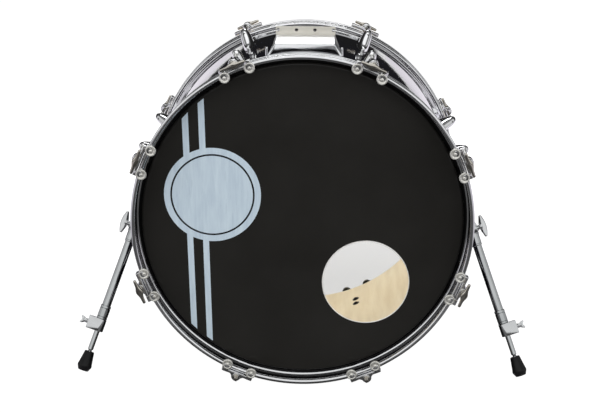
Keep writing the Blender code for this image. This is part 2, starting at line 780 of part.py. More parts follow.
def spur_bracket_mesh(leg_frame):
    """The bracket in world space: a saddle on the shell and a boss whose face meets the leg's head."""
    face = -SPUR_HEAD_HALF - SEAT_GAP
    boss = along_x(cylinder(SPUR_BOSS_RADIUS, face - SPUR_STANDOFF, face, TUBE_SEGMENTS))
    boss.transform(leg_frame)
    foot = leg_frame @ Vector((face - SPUR_STANDOFF / 2, 0.0, 0.0))
    around = math.atan2(foot.x, foot.z - AXIS_HEIGHT)
    base = block(
        (-SPUR_BASE_ACROSS / 2, SHELL_RADIUS - SHELL_WALL, -SPUR_BASE_LENGTH / 2),
        (SPUR_BASE_ACROSS / 2, SHELL_RADIUS + SPUR_BASE_HEIGHT, SPUR_BASE_LENGTH / 2),
    )
    base.transform(side_matrix(1) @ Matrix.Translation((0.0, 0.0, -foot.y)) @ Matrix.Rotation(-around, 4, "Z"))
    hole = along_x(bore(PIVOT_BOLT_RADIUS, face - PIVOT_BOLT_GRIP - SPUR_STEP, 0.0))
    hole.transform(leg_frame)
    shell = moved(shell_cutter(), side_matrix(1))
    return cut(joined(base, boss), shell, hole)


def side_matrix(front):
    """The frame of the front (1) or batter (-1) side, on the drum's axis at mid depth."""
    out = Vector((0.0, -front, 0.0))
    across = Vector((front, 0.0, 0.0))
    return frame_matrix(Vector((0.0, 0.0, AXIS_HEIGHT)), across, out)


# Assembly

def build_drum(front_side, batter_side):
    part("shell", shell_mesh(), principled("shell_wrap", (0.012, 0.012, 0.014), 0.08, 0.0), front_side)
    film = principled("resonant_film", (0.014, 0.014, 0.015), 0.2, 0.0)
    part("resonant_head", cut(head_mesh(), port_cutter()), film, front_side)
    part("batter_head", head_mesh(), principled("batter_film", (0.84, 0.83, 0.79), 0.35, 0.0), batter_side)
    part("resonant_hoop", hoop_mesh(), chrome("resonant_hoop_chrome"), front_side)
    part("batter_hoop", clawed_hoop_mesh(), chrome("batter_hoop_chrome"), batter_side)
    part("tom_bracket", bracket_mesh(), chrome("tom_bracket_chrome"), front_side)


def build_stations(front_side, batter_side):
    claw = claw_mesh(CLAW_FOOT_INSET)
    lug = lug_mesh()
    t_rod = t_rod_mesh()
    key_rod = key_rod_mesh()
    claw_chrome = chrome("claw_chrome")
    lug_chrome = chrome("lug_chrome")
    rod_chrome = chrome("tension_rod_chrome", 0.12)
    on_rod_axis = Matrix.Translation((0.0, ROD_CIRCLE, 0.0))
    for label, side in (("front", front_side), ("batter", batter_side)):
        for index in range(1, STATION_COUNT + 1):
            turn = Matrix.Rotation(-station_angle(index), 4, "Z")
            station = empty(f"{label}_station_{index}", turn, side)
            rod = key_rod if index in KEY_ROD_STATIONS else t_rod
            part(f"{label}_tension_rod_{index}", rod, rod_chrome, station, on_rod_axis)
            part(f"{label}_lug_{index}", lug, lug_chrome, station)
            if side is front_side:
                part(f"front_claw_{index}", claw, claw_chrome, station)


def build_spurs():
    tread = spur_frame(1)[1]
    leg = leg_mesh()
    clamp = clamp_mesh()
    clamp_screw = clamp_screw_mesh()
    bolt = pivot_bolt_mesh()
    rod = spur_rod_mesh(tread)
    foot = foot_mesh(tread)
    tube_chrome = chrome("spur_tube_chrome", 0.1)
    cast_chrome = chrome("spur_cast_chrome", 0.18)
    rubber = principled("spur_rubber", (0.012, 0.012, 0.012), 0.65, 0.0)
    in_clamp = Matrix.Translation((0.0, 0.0, -CLAMP_TOP - CLAMP_LENGTH / 2))
    for label, side in (("right", 1), ("left", -1)):
        matrix = spur_frame(side)[0]
        pivot = empty(f"{label}_spur_pivot", matrix)
        bracket = spur_bracket_mesh(matrix)
        part(f"{label}_spur_bracket", moved(bracket, matrix.inverted()), cast_chrome, pivot)
        part(f"{label}_spur_wing_bolt", bolt, cast_chrome, pivot)
        part(f"{label}_spur_tube", leg, tube_chrome, pivot)
        part(f"{label}_spur_clamp", clamp, cast_chrome, pivot)
        part(f"{label}_spur_clamp_screw", clamp_screw, cast_chrome, pivot, in_clamp)
        part(f"{label}_spur_rod", rod, tube_chrome, pivot)
        part(f"{label}_spur_foot", foot, rubber, pivot)


clear_scene()
parts = new_collection(OBJECT_NAME)
cutters = new_collection(f"{OBJECT_NAME}_cutters")
front_frame = empty("front_side", side_matrix(1))
batter_frame = empty("batter_side", side_matrix(-1))
build_drum(front_frame, batter_frame)
build_stations(front_frame, batter_frame)
build_spurs()
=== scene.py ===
import json
import math

import bmesh
import bpy
from mathutils import Matrix, Vector


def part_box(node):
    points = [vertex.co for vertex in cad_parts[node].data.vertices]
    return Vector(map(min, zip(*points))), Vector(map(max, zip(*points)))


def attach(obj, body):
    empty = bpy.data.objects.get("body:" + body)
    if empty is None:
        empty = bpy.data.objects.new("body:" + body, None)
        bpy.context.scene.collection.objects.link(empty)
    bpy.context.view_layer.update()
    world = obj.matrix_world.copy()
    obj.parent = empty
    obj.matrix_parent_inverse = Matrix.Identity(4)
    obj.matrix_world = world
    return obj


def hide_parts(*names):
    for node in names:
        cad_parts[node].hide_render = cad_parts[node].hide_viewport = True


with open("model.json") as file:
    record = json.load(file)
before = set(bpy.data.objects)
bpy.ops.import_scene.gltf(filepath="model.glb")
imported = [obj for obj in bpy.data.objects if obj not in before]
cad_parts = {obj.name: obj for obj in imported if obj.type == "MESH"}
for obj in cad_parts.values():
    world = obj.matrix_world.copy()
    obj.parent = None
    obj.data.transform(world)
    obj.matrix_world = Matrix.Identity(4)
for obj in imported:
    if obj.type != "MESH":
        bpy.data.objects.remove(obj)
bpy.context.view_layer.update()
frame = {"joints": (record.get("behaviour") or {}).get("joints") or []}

# Looks of the bass drum, in metres. Pieces of one side are made in that side's frame: X across, Y up and
# Z out of the drum along its axis. Pieces of a station have X along the hoop and Y away from the axis.

# Camera, from the photograph's frame
IMAGE_WIDTH = 616
FOCAL_LENGTH_PX = 1283.0
SENSOR_WIDTH = 36.0
CAMERA_PLACE = Vector((0.0328, -2.3088, 0.9623))
CAMERA_TARGET = Vector((0.0097, -0.2040, 0.3322))
CAMERA_ROLL = math.radians(0.46)

# Room that the object mirrors: (height of the direction, level) stops in front, at the sides and behind,
# and the spans of the direction's Y over which one gives way to the next
FRONT_ROOM = ((-0.1, 0.03), (0.06, 0.03), (0.1, 1.0), (0.9, 1.0), (1.0, 0.7))
SIDE_ROOM = ((-0.1, 0.5), (0.0, 0.5), (0.3, 0.7), (0.6, 0.7), (0.7, 0.2))
BACK_ROOM = ((-0.1, 0.95), (-0.052, 0.95), (-0.044, 0.015), (0.4, 0.02), (0.7, 0.12), (1.0, 0.2))
SIDE_ROOM_SPAN = (-0.6, -0.5)
BACK_ROOM_SPAN = (0.4, 0.5)
WHITE = (1.0, 1.0, 1.0, 1.0)

# Floor that the object mirrors: its tones, with painted shadow under and before the drum, its glow of
# painted light, and the spans over which they change, along Y for the sheet's edge, front and back, and
# away from the middle for the others
FLOOR_REACH = 8.0
FLOOR_DROP = 0.0006
FLOOR_TINT = (0.96, 0.92, 1.0, 1.0)
FLOOR_DARK_AND_PAINTED_SHADOW = (0.01, 0.01, 0.01, 1.0)
FLOOR_GLOW = 0.2
FLOOR_FAR_GLOW = 0.85
FLOOR_SIDE_GLOW = 0.5
FLOOR_CENTRE_SHARE = 0.5
FLOOR_SHEET_EDGE = (-0.80, -0.76)
FLOOR_FRONT_STEP = (-0.36, -0.26)
FLOOR_BACK_STEP = (0.35, 0.75)
FLOOR_UNDER_STEP = (0.30, 0.44)
FLOOR_CENTRE_STEP = (0.34, 0.42)
FLOOR_SIDE_STEP = (0.80, 1.00)

# Smoothness
RING_SEGMENTS = 192
PRINT_SEGMENTS = 96
DISC_SEGMENTS = 40
TUBE_SEGMENTS = 36
ROUND_SEGMENTS = 32
HUB_SEGMENTS = 28
ROD_SEGMENTS = 24
SCREW_SEGMENTS = 20
THREAD_SEGMENTS = 16
THREAD_SAMPLES = 5
SHARP_ANGLE = math.radians(32)
FLAT_ANGLE = math.radians(1)
MERGE_DISTANCE = 0.000001

# Texture: the part of a noise that tone and gloss run over, the depth of relief, and stretches of grain
NOISE_SPAN = (0.3, 0.7)
RELIEF_DEPTH = 0.001
EVEN = (1.0, 1.0, 1.0)
BRUSHED = (1.0, 1.0, 12.0)

# The CAD model's facets, stations and the gap between its pieces
CAD_FACETS = 64
FACET = math.cos(math.pi / CAD_FACETS)
STATION_COUNT = 8
KEY_ROD_STATIONS = (4, 5)
CLEARANCE = 0.0003


def frame_joint(name):
    return next(joint for joint in frame["joints"] if joint["name"] == name)


def half_across(node):
    """The radius of a faceted CAD ring, from the facets that bound its box."""
    low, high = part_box(node)
    return (high.x - low.x) / 2 / FACET


# Sizes read from the frame
shell_low, shell_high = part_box("shell")
head_low, head_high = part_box("resonant_head")
hoop_low, hoop_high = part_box("resonant_hoop")
lug_low, lug_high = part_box("front_lug_1")
bracket_low, bracket_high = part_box("tom_bracket")
rod_low, rod_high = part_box("front_tension_rod_1")
rod_place = Vector(frame_joint("front_rod_1_turn")["pos_m"])

AXIS_HEIGHT = (shell_low.z + shell_high.z) / 2
SHELL_RADIUS = half_across("shell")
EDGE_PLANE = -shell_low.y
FILM_OUTSIDE = -head_low.y
FLESH_BOTTOM = -head_high.y
FLESH_OUTER = half_across("resonant_head")
HOOP_RADIUS = (hoop_high.x - hoop_low.x) / 2
HOOP_FRONT = -hoop_low.y
HOOP_BACK = -hoop_high.y
ROD_CIRCLE = math.hypot(rod_place.x, rod_place.z - AXIS_HEIGHT)
CLAW_FACE = -rod_place.y
HANDLE_FRONT = -rod_low.y
ROD_END = -rod_high.y
LUG_FACE = -lug_low.y
LUG_NOSE = -lug_high.y
BRACKET_FRONT = -bracket_low.y
FLANGE_TOP = bracket_high.z - AXIS_HEIGHT

# Shell and heads
SHELL_WALL = 0.0075
EDGE_ROUND = 0.0018
EDGE_SLOPE = 0.0055
SEAT_DEPTH = 0.0005
FILM_RADIUS = SHELL_RADIUS - EDGE_ROUND
FILM_THICKNESS = 0.0008
FILM_INSIDE = FILM_OUTSIDE - FILM_THICKNESS
COLLAR_RADIUS = SHELL_RADIUS + 0.0023
FLESH_INNER = SHELL_RADIUS + 0.0015
FLESH_TOP = FLESH_BOTTOM + 0.009
FLESH_ROUND = 0.001
PORT_RADIUS = 0.0762
PORT_PLACE = (0.112, -0.110)
PORT_RIM_INNER = PORT_RADIUS - 0.0006
PORT_RIM_OUTER = PORT_RADIUS + 0.0008
PORT_RIM_HEIGHT = 0.0006

# Print on the front film: two stripes, each through a point near its top and one near its foot, and a
# plain roundel, with the radii of its edge and of its ring's inside and outside
STRIPES = (((-0.2010, 0.193), (-0.1920, -0.198)), ((-0.1740, 0.215), (-0.1640, -0.222)))
STRIPE_WIDTH = 0.0105
STRIPE_END = SHELL_RADIUS * 0.75
PRINT_EDGE = 0.2750
PRINT_HEIGHT = 0.00012
ROUNDEL_PLACE = (-0.156, 0.047)
ROUNDEL_RADII = (0.084, 0.070, 0.073)

# Hoops
HOOP_STEP = 0.0020
HOOP_WALL_OUTER = HOOP_RADIUS - HOOP_STEP
HOOP_WALL_INNER = HOOP_RADIUS - 0.0065
HOOP_LIP = HOOP_RADIUS - 0.0080
HOOP_LIP_HEIGHT = 0.001
HOOP_BEAD_FOOT = HOOP_FRONT - 0.0065
HOOP_BEAD_CROWN = 0.0032
HOOP_NECK_HEIGHT = 0.0028
HOOP_RIB_WIDTH = 0.0046
HOOP_RIB_HEIGHT = 0.0010
HOOP_ROLL = 0.0032
HOOP_ROLL_SPARE = 0.0005
HOOP_ROLL_FOOT = HOOP_BACK + HOOP_ROLL + 0.0006
HOOP_FLANGE_INNER = FLESH_OUTER - 0.0045
HOOP_FLANGE_BACK = FLESH_TOP + CLEARANCE
HOOP_FLANGE_FRONT = HOOP_FLANGE_BACK + 0.0025
HOOP_COVE = 0.004

# Claws
CLAW_BACK = HOOP_FRONT + CLEARANCE
CLAW_FOOT_SPACING = 0.045
CLAW_FOOT_INSETS = {1: 0.0084, -1: 0.0125}
CLAW_SEAT = HOOP_RADIUS + CLEARANCE
CLAW_TOP = CLAW_SEAT + 0.0055
CLAW_ARM_WIDTH = 0.011
CLAW_ARM_BACK = CLAW_BACK + 0.0002
CLAW_ARM_FRONT = CLAW_BACK + 0.0036
CLAW_ARM_EDGE = 0.0012
CLAW_BRIDGE_WIDTH = 0.0135
CLAW_BRIDGE_EDGE = 0.0010
CLAW_HALF_LENGTH = 0.0283
CLAW_EYE_RADIUS = 0.0085
CLAW_EYE_FOOT = CLAW_EYE_RADIUS + 0.004

# Tension rods
ROD_RADIUS = 0.003
THREAD_PITCH = 0.0011
THREAD_DEPTH = 0.0004
THREAD_TOP = LUG_FACE + 0.024
WASHER_BACK = CLAW_FACE + CLEARANCE
WASHER_FRONT = WASHER_BACK + 0.0018
WASHER_RADIUS = 0.0064
STEM_RADIUS = 0.0048
HANDLE_BACK = HANDLE_FRONT - 0.007
HANDLE_LENGTH = 0.045
HANDLE_POINTS = 20
HANDLE_SQUARENESS = 0.8
KEY_COLLAR = WASHER_FRONT + 0.002
KEY_HEAD_SIDE = 0.0064
KEY_HEAD_LENGTH = 0.0085
KEY_HEAD_EDGE = 0.0007

# Lugs
LUG_SEAT = SHELL_RADIUS * FACET + CLEARANCE
LUG_CROWN = ROD_CIRCLE + 0.009 - LUG_SEAT
LUG_NOSE_HEIGHT = 0.0075
LUG_HALF_WIDTH = 0.0105
LUG_NOSE_HALF_WIDTH = 0.0042
LUG_NOSE_LENGTH = 0.002
LUG_SQUARENESS = 0.65
LUG_STEPS = 28
LUG_RING_POINTS = 29
LUG_DOME = 0.011
LUG_DOME_STEPS = 10
LUG_FACE_SHARES = (0.50, 0.62)
LUG_SCREW_PLACES = (LUG_FACE - 0.0218, LUG_FACE - 0.0458)
GASKET_SPARE = 0.0005
GASKET_HEIGHT = 0.0008
GASKET_STEPS = 12
NUT_RADIUS = 0.0046
NUT_LENGTH = 0.009

# Tom bracket: a span is half the width of its top and the spread of its skirts below
BRACKET_TOP = SHELL_RADIUS + 0.012
BRACKET_FRONT_SPAN = (0.0545, 0.0122)
BRACKET_REAR_SPAN = (0.055, 0.0058)
BRACKET_ROUND = 0.0022
BRACKET_EDGE = 0.0012
BRACKET_SINK = 0.0006
BRACKET_SEAT_STEPS = 16
BRACKET_SCREW_TURN = math.radians(8)
BRACKET_SCREW_DEPTH = 0.030
EAR_EDGE = 0.0018
FLANGE_THICKNESS = 0.0025
FLANGE_CORNER = 0.002
FLANGE_EDGE = 0.0004
FLANGE_HOLE_COUNT = 4
FLANGE_HOLE_PITCH = 0.034
FLANGE_HOLE_RADIUS = 0.0032
FLANGE_HOLE_UP = BRACKET_TOP + 0.0085

# Spurs, in the leg's frame: X out along the wing bolt, Z up along the leg
BASE_ACROSS = 0.046
BASE_LENGTH = 0.056
BASE_HEIGHT = 0.005
BASE_DEPTH = 0.005
BASE_CORNER = 0.008
BASE_EDGE = 0.0014
SPUR_SCREW_INSET = 0.0075
BOSS_RADIUS = 0.014
BOSS_LENGTH = 0.0333
HEAD_RADIUS = 0.0125
HEAD_HALF = 0.0102
SLEEVE_RADIUS = 0.0095
SLEEVE_TOP = 0.0015
SLEEVE_END = 0.030
TUBE_RADIUS = 0.008
SPUR_COLLAR_START = 0.156
TUBE_LENGTH = 0.180
GROOVES = (0.004, 0.020)
GROOVE_DEPTH = 0.0006
GROOVE_HALF = 0.0007
SPUR_BORE_RADIUS = 0.0053
SPUR_BORE_TOP = 0.044
BOLT_SHOULDER = HEAD_HALF + CLEARANCE
BOLT_RADIUS = 0.004
BOLT_GRIP = 0.014
BOLT_HUB_RADIUS = 0.006
BAR_CENTRE = BOLT_SHOULDER + 0.0107
BAR_LENGTH = 0.041
BAR_HALF_WIDTH = 0.0065
BAR_TIP = 0.002
BAR_HALF_THICKNESS = 0.00325
BAR_THINNING = 0.35
BAR_V_SLOPE = 1.5
BAR_END_SHARE = 0.05
BAR_END_LEAST = 0.02
BAR_SQUARENESS = 0.75
BAR_STEPS = 36
BAR_POINTS = 24
CLAMP_TOP = TUBE_LENGTH + CLEARANCE
CLAMP_LENGTH = 0.023
CLAMP_OUTER = 0.022
CLAMP_HALF_WIDTH = 0.010
CLAMP_EDGE = 0.0008
SPUR_ROD_RADIUS = 0.0049
SPUR_ROD_LENGTH = 0.1575
SPUR_ROD_BEVEL = 0.0008
NECK_RADIUS = 0.0035
NECK_LENGTH = 0.019
NECK_SHOWN = 0.0035
CLAMP_SCREW_TIP = SPUR_ROD_RADIUS + 0.0009
CLAMP_SCREW_SHOULDER = CLAMP_OUTER + CLEARANCE
CLAMP_SCREW_RADIUS = 0.0025
CLAMP_HUB_RADIUS = 0.0042
WING_LENGTH = 0.014
WING_RISE = 0.012
WING_TIP = 0.004
WING_THICKNESS = 0.0032
FOOT_HEIGHT = 0.036
FOOT_TOP_RADIUS = 0.0088
FOOT_WIDE_RADIUS = 0.013
FOOT_TREAD_RADIUS = 0.0092
FOOT_BEVEL = 0.0075
FOOT_BAND = 0.003
FOOT_BORE_DEPTH = 0.016
FOOT_GROOVES = (0.0066, 0.0042)
FOOT_GROOVE_DEPTH = 0.0007


# Mesh helpers

def shaded(work):
    """A smooth-shaded mesh from a bmesh, with crisp edges at its sharp corners."""
    mesh = bpy.data.meshes.new("shape")
    work.to_mesh(mesh)
    work.free()
    mesh.shade_smooth()
    mesh.set_sharp_from_angle(angle=SHARP_ANGLE)
    return mesh


def finished(work):
    """A mesh from a bmesh, with doubled corners merged and its faces turned outwards."""
    bmesh.ops.remove_doubles(work, verts=work.verts, dist=MERGE_DISTANCE)
    bmesh.ops.recalc_face_normals(work, faces=work.faces)
    return shaded(work)


def circle(radius, count, centre=(0.0, 0.0)):
    """Points of a circle in XY."""
    points = []
    for i in range(count):
        angle = math.tau * i / count
        points.append((centre[0] + radius * math.cos(angle), centre[1] + radius * math.sin(angle)))
    return points


def arc(centre, radii, start, end, count):
    """Points of an elliptical arc between two angles in degrees."""
    points = []
    for i in range(count):
        angle = math.radians(start + (end - start) * i / (count - 1))
        points.append((centre[0] + radii[0] * math.cos(angle), centre[1] + radii[1] * math.sin(angle)))
    return points


def corner(radius, height, rounding, count=5, top=True):
    """A quarter round on the way down a profile, at its outer top or bottom corner."""
    if top:
        return arc((radius - rounding, height - rounding), (rounding, rounding), 90, 0, count)
    return arc((radius - rounding, height + rounding), (rounding, rounding), 0, -90, count)


def both_sides(right):
    """An outline from its right half."""
    return right + [(-x, y) for x, y in reversed(right)]


def both_ends(upper):
    """A profile from its upper half."""
    return upper + [(radius, -height) for radius, height in reversed(upper)]


def signed_power(value, power):
    return math.copysign(abs(value) ** power, value)


def squared_circle(count, power):
    """Points of a unit circle, drawn towards a square by a power below 1."""
    return [(signed_power(x, power), signed_power(y, power)) for x, y in circle(1.0, count)]


def joined(work, near, far, number=0):
    """Faces between two rings, one of which may be a single point."""
    count = max(len(near), len(far))
    for i in range(count):
        j = (i + 1) % count
        corners = [near[i % len(near)], near[j % len(near)], far[j % len(far)], far[i % len(far)]]
        work.faces.new(list(dict.fromkeys(corners))).material_index = number


def lathe(profile, segments=ROUND_SEGMENTS, closed=False, zones=None):
    """Turn (radius, height) points about Z; zones gives the material number of each stretch."""
    work = bmesh.new()
    rings = []
    for radius, height in profile:
        points = [(0.0, 0.0)] if radius < MERGE_DISTANCE else circle(radius, segments)
        rings.append([work.verts.new((x, y, height)) for x, y in points])
    followers = rings[1:] + rings[:1] if closed else rings[1:]
    for number, (near, far) in enumerate(zip(rings, followers)):
        joined(work, near, far, zones[number] if zones else 0)
    return finished(work)


def plate(loops, low, high):
    """A flat plate along Z: the first loop is its outline and the others are holes in it."""
    work = bmesh.new()
    levels = []
    for height in (low, high):
        rings = [[work.verts.new((x, y, height)) for x, y in loop] for loop in loops]
        edges = []
        for ring in rings:
            edges += [work.edges.new(pair) for pair in zip(ring, ring[1:] + ring[:1])]
        bmesh.ops.triangle_fill(work, use_beauty=True, edges=edges)
        levels.append(rings)
    for lower, upper in zip(*levels):
        joined(work, lower, upper)
    return finished(work)


def loft(sections):
    """A closed solid through sections of equal point counts."""
    work = bmesh.new()
    rings = [[work.verts.new(point) for point in section] for section in sections]
    for near, far in zip(rings, rings[1:]):
        joined(work, near, far)
    work.faces.new(rings[0])
    work.faces.new(rings[-1])
    return finished(work)


def rounded(mesh, width, segments=3):
    """Round the mesh's sharp edges."""
    work = bmesh.new()
    work.from_mesh(mesh)
    bmesh.ops.dissolve_limit(work, angle_limit=FLAT_ANGLE, verts=work.verts, edges=work.edges)
    sharp = [edge for edge in work.edges if edge.calc_face_angle(0.0) > SHARP_ANGLE]
    bmesh.ops.bevel(work, geom=sharp, offset=width, segments=segments, profile=0.5, affect="EDGES",
                    clamp_overlap=True)
    return finished(work)


def block(low, high, edge):
    """A box between two corners, with rounded edges."""
    outline = [(low[0], low[1]), (high[0], low[1]), (high[0], high[1]), (low[0], high[1])]
    return rounded(plate([outline], low[2], high[2]), edge)


def threaded(radius, low, high, segments=THREAD_SEGMENTS):
    """A rod about Z with a helical thread."""
    count = round((high - low) / THREAD_PITCH * THREAD_SAMPLES)
    sections = []
    for k in range(count + 1):
        height = low + (high - low) * k / count
        section = []
        for i in range(segments):
            turn = i / segments
            angle = math.tau * turn
            phase = (height / THREAD_PITCH - turn) % 1.0
            reach = radius - THREAD_DEPTH * abs(2.0 * phase - 1.0)
            section.append((reach * math.cos(angle), reach * math.sin(angle), height))
        sections.append(section)
    return loft(sections)


def moved(mesh, matrix):
    mesh.transform(matrix)
    return mesh


def shifted(mesh, x=0.0, y=0.0, z=0.0):
    return moved(mesh, Matrix.Translation((x, y, z)))


def along_x(mesh):
    """Turn a mesh made about Z so that its axis points along +X."""
    return moved(mesh, Matrix.Rotation(math.pi / 2, 4, "Y"))


def along_y(mesh):
    """Turn a mesh made about Z so that its axis points along +Y."""
    return moved(mesh, Matrix.Rotation(-math.pi / 2, 4, "X"))


def gathered(*meshes):
    """One mesh from several, which keep their material numbers."""
    work = bmesh.new()
    for mesh in meshes:
        work.from_mesh(mesh)
    return shaded(work)


def painted(mesh, number):
    """Give all faces of a mesh one material number."""
    for polygon in mesh.polygons:
        polygon.material_index = number
    return mesh


def seated(mesh):
    """Press a mesh, in a side's frame, onto the shell: what is below its skin is lifted to it."""
    seat = SHELL_RADIUS - SEAT_DEPTH
    for vertex in mesh.vertices:
        radius = math.hypot(vertex.co.x, vertex.co.y)
        if 0.0 < radius < seat:
            vertex.co.x *= seat / radius
            vertex.co.y *= seat / radius
    return mesh


# Frames

def frame_matrix(origin, x_axis, z_axis):
    y_axis = z_axis.cross(x_axis)
    return Matrix.Translation(origin) @ Matrix((x_axis, y_axis, z_axis)).transposed().to_4x4()


def side_matrix(front):
    """The frame of the front (1) or batter (-1) side, on the drum's axis at mid depth."""
    origin = Vector((0.0, 0.0, AXIS_HEIGHT))
    return frame_matrix(origin, Vector((front, 0.0, 0.0)), Vector((0.0, -front, 0.0)))


def stations():
    """Each tension station's label, side, index and frame; a side counts clockwise from its top."""
    for label, front in (("front", 1), ("batter", -1)):
        for index in range(1, STATION_COUNT + 1):
            turn = Matrix.Rotation(-math.tau / STATION_COUNT * (index - 0.5), 4, "Z")
            yield label, front, index, side_matrix(front) @ turn


def leg_matrix(label):
    """A leg's frame, from the joints that turn its bolt and draw out its rod."""
    bolt = frame_joint(f"{label}_wing_bolt_turn")
    out = Vector(bolt["axis"]).normalized()
    down = Vector(frame_joint(f"{label}_spur_extend")["axis"]).normalized()
    return frame_matrix(Vector(bolt["pos_m"]), out, -down)


# Shader helpers

def linear(red, green, blue):
    """A colour in screen values, as linear light."""
    parts = []
    for value in (red, green, blue):
        share = value / 255
        parts.append(share / 12.92 if share <= 0.04045 else ((share + 0.055) / 1.055) ** 2.4)
    return (*parts, 1.0)


def feed(socket, value):
    """Link an input to the socket given for it, or set it to the constant given."""
    if isinstance(value, bpy.types.NodeSocket):
        socket.id_data.links.new(value, socket)
    else:
        socket.default_value = value


def fill(node, **inputs):
    """Feed a shader node's inputs by their names."""
    for name, value in inputs.items():
        feed(node.inputs[name.replace("_", " ")], value)
    return node


def add(tree, kind, **inputs):
    return fill(tree.nodes.new(kind), **inputs)


def coordinates(tree, space):
    """The X, Y and Z of a texture space."""
    place = add(tree, "ShaderNodeTexCoord").outputs[space]
    return add(tree, "ShaderNodeSeparateXYZ", Vector=place).outputs


def noise(tree, scale, detail, stretch):
    """A noise over the piece's own space, stretched along an axis for grain or brushing."""
    place = add(tree, "ShaderNodeTexCoord").outputs["Object"]
    space = add(tree, "ShaderNodeMapping", Vector=place, Scale=stretch).outputs["Vector"]
    return add(tree, "ShaderNodeTexNoise", Vector=space, Scale=scale, Detail=detail).outputs["Fac"]


def stepped(value, span, levels=(0.0, 1.0)):
    """A value that goes from one level to another over a span of the input."""
    ease = add(value.id_data, "ShaderNodeMapRange", Value=value, From_Min=span[0], From_Max=span[1],
               To_Min=levels[0], To_Max=levels[1])
    return ease.outputs["Result"]


def calculated(operation, *values):
    """The result of a math operation on one or two values."""
    node = add(values[0].id_data, "ShaderNodeMath")
    node.operation = operation
    for socket, value in zip(node.inputs, values):
        feed(socket, value)
    return node.outputs["Value"]


def largest(first, *others):
    for other in others:
        first = calculated("MAXIMUM", first, other)
    return first


def mixed(share, first, second):
    """A colour between two; each is a socket or a constant."""
    node = add(share.id_data, "ShaderNodeMix", Factor=share)
    node.data_type = "RGBA"
    for name, colour in (("A", first), ("B", second)):
        feed(next(i for i in node.inputs if i.name == name and i.type == "RGBA"), colour)
    return next(o for o in node.outputs if o.type == "RGBA")


def graded(value, stops):
    """A grey that follows (place, level) stops along the input, from the first stop to 1."""
    low = stops[0][0]
    ramp = add(value.id_data, "ShaderNodeValToRGB", Fac=stepped(value, (low, 1.0)))
    while len(ramp.color_ramp.elements) < len(stops):
        ramp.color_ramp.elements.new(0.5)
    for element, (place, level) in zip(ramp.color_ramp.elements, stops):
        element.position = (place - low) / (1.0 - low)
        element.color = (level, level, level, 1.0)
    return ramp.outputs["Color"]


# Materials

materials = {}


def surface(name, dark, light, roughness, metallic=0.0, tone_scale=30.0, rough_scale=60.0, stretch=EVEN,
            bump_scale=400.0, bump=0.02, **sockets):
    """A material whose tone, gloss and relief vary over the piece; other sockets keep a constant."""
    material = bpy.data.materials.new(name)
    material.use_nodes = True
    tree = material.node_tree
    ramp = add(tree, "ShaderNodeValToRGB", Fac=noise(tree, tone_scale, 4.0, stretch))
    for element, place, tone in zip(ramp.color_ramp.elements, NOISE_SPAN, (dark, light)):
        element.position = place
        element.color = linear(*tone)
    gloss = stepped(noise(tree, rough_scale, 3.0, stretch), NOISE_SPAN, roughness)
    height = noise(tree, bump_scale, 2.0, stretch)
    relief = add(tree, "ShaderNodeBump", Strength=bump, Distance=RELIEF_DEPTH, Height=height)
    fill(tree.nodes["Principled BSDF"], Metallic=metallic, Base_Color=ramp.outputs["Color"],
         Roughness=gloss, Normal=relief.outputs["Normal"], **sockets)
    materials[name] = material
    return material


def chrome(name, dark, light, roughness, bump=0.01, stretch=EVEN):
    surface(name, dark, light, roughness, metallic=1.0, tone_scale=14.0, rough_scale=35.0,
            stretch=stretch, bump_scale=120.0, bump=bump)


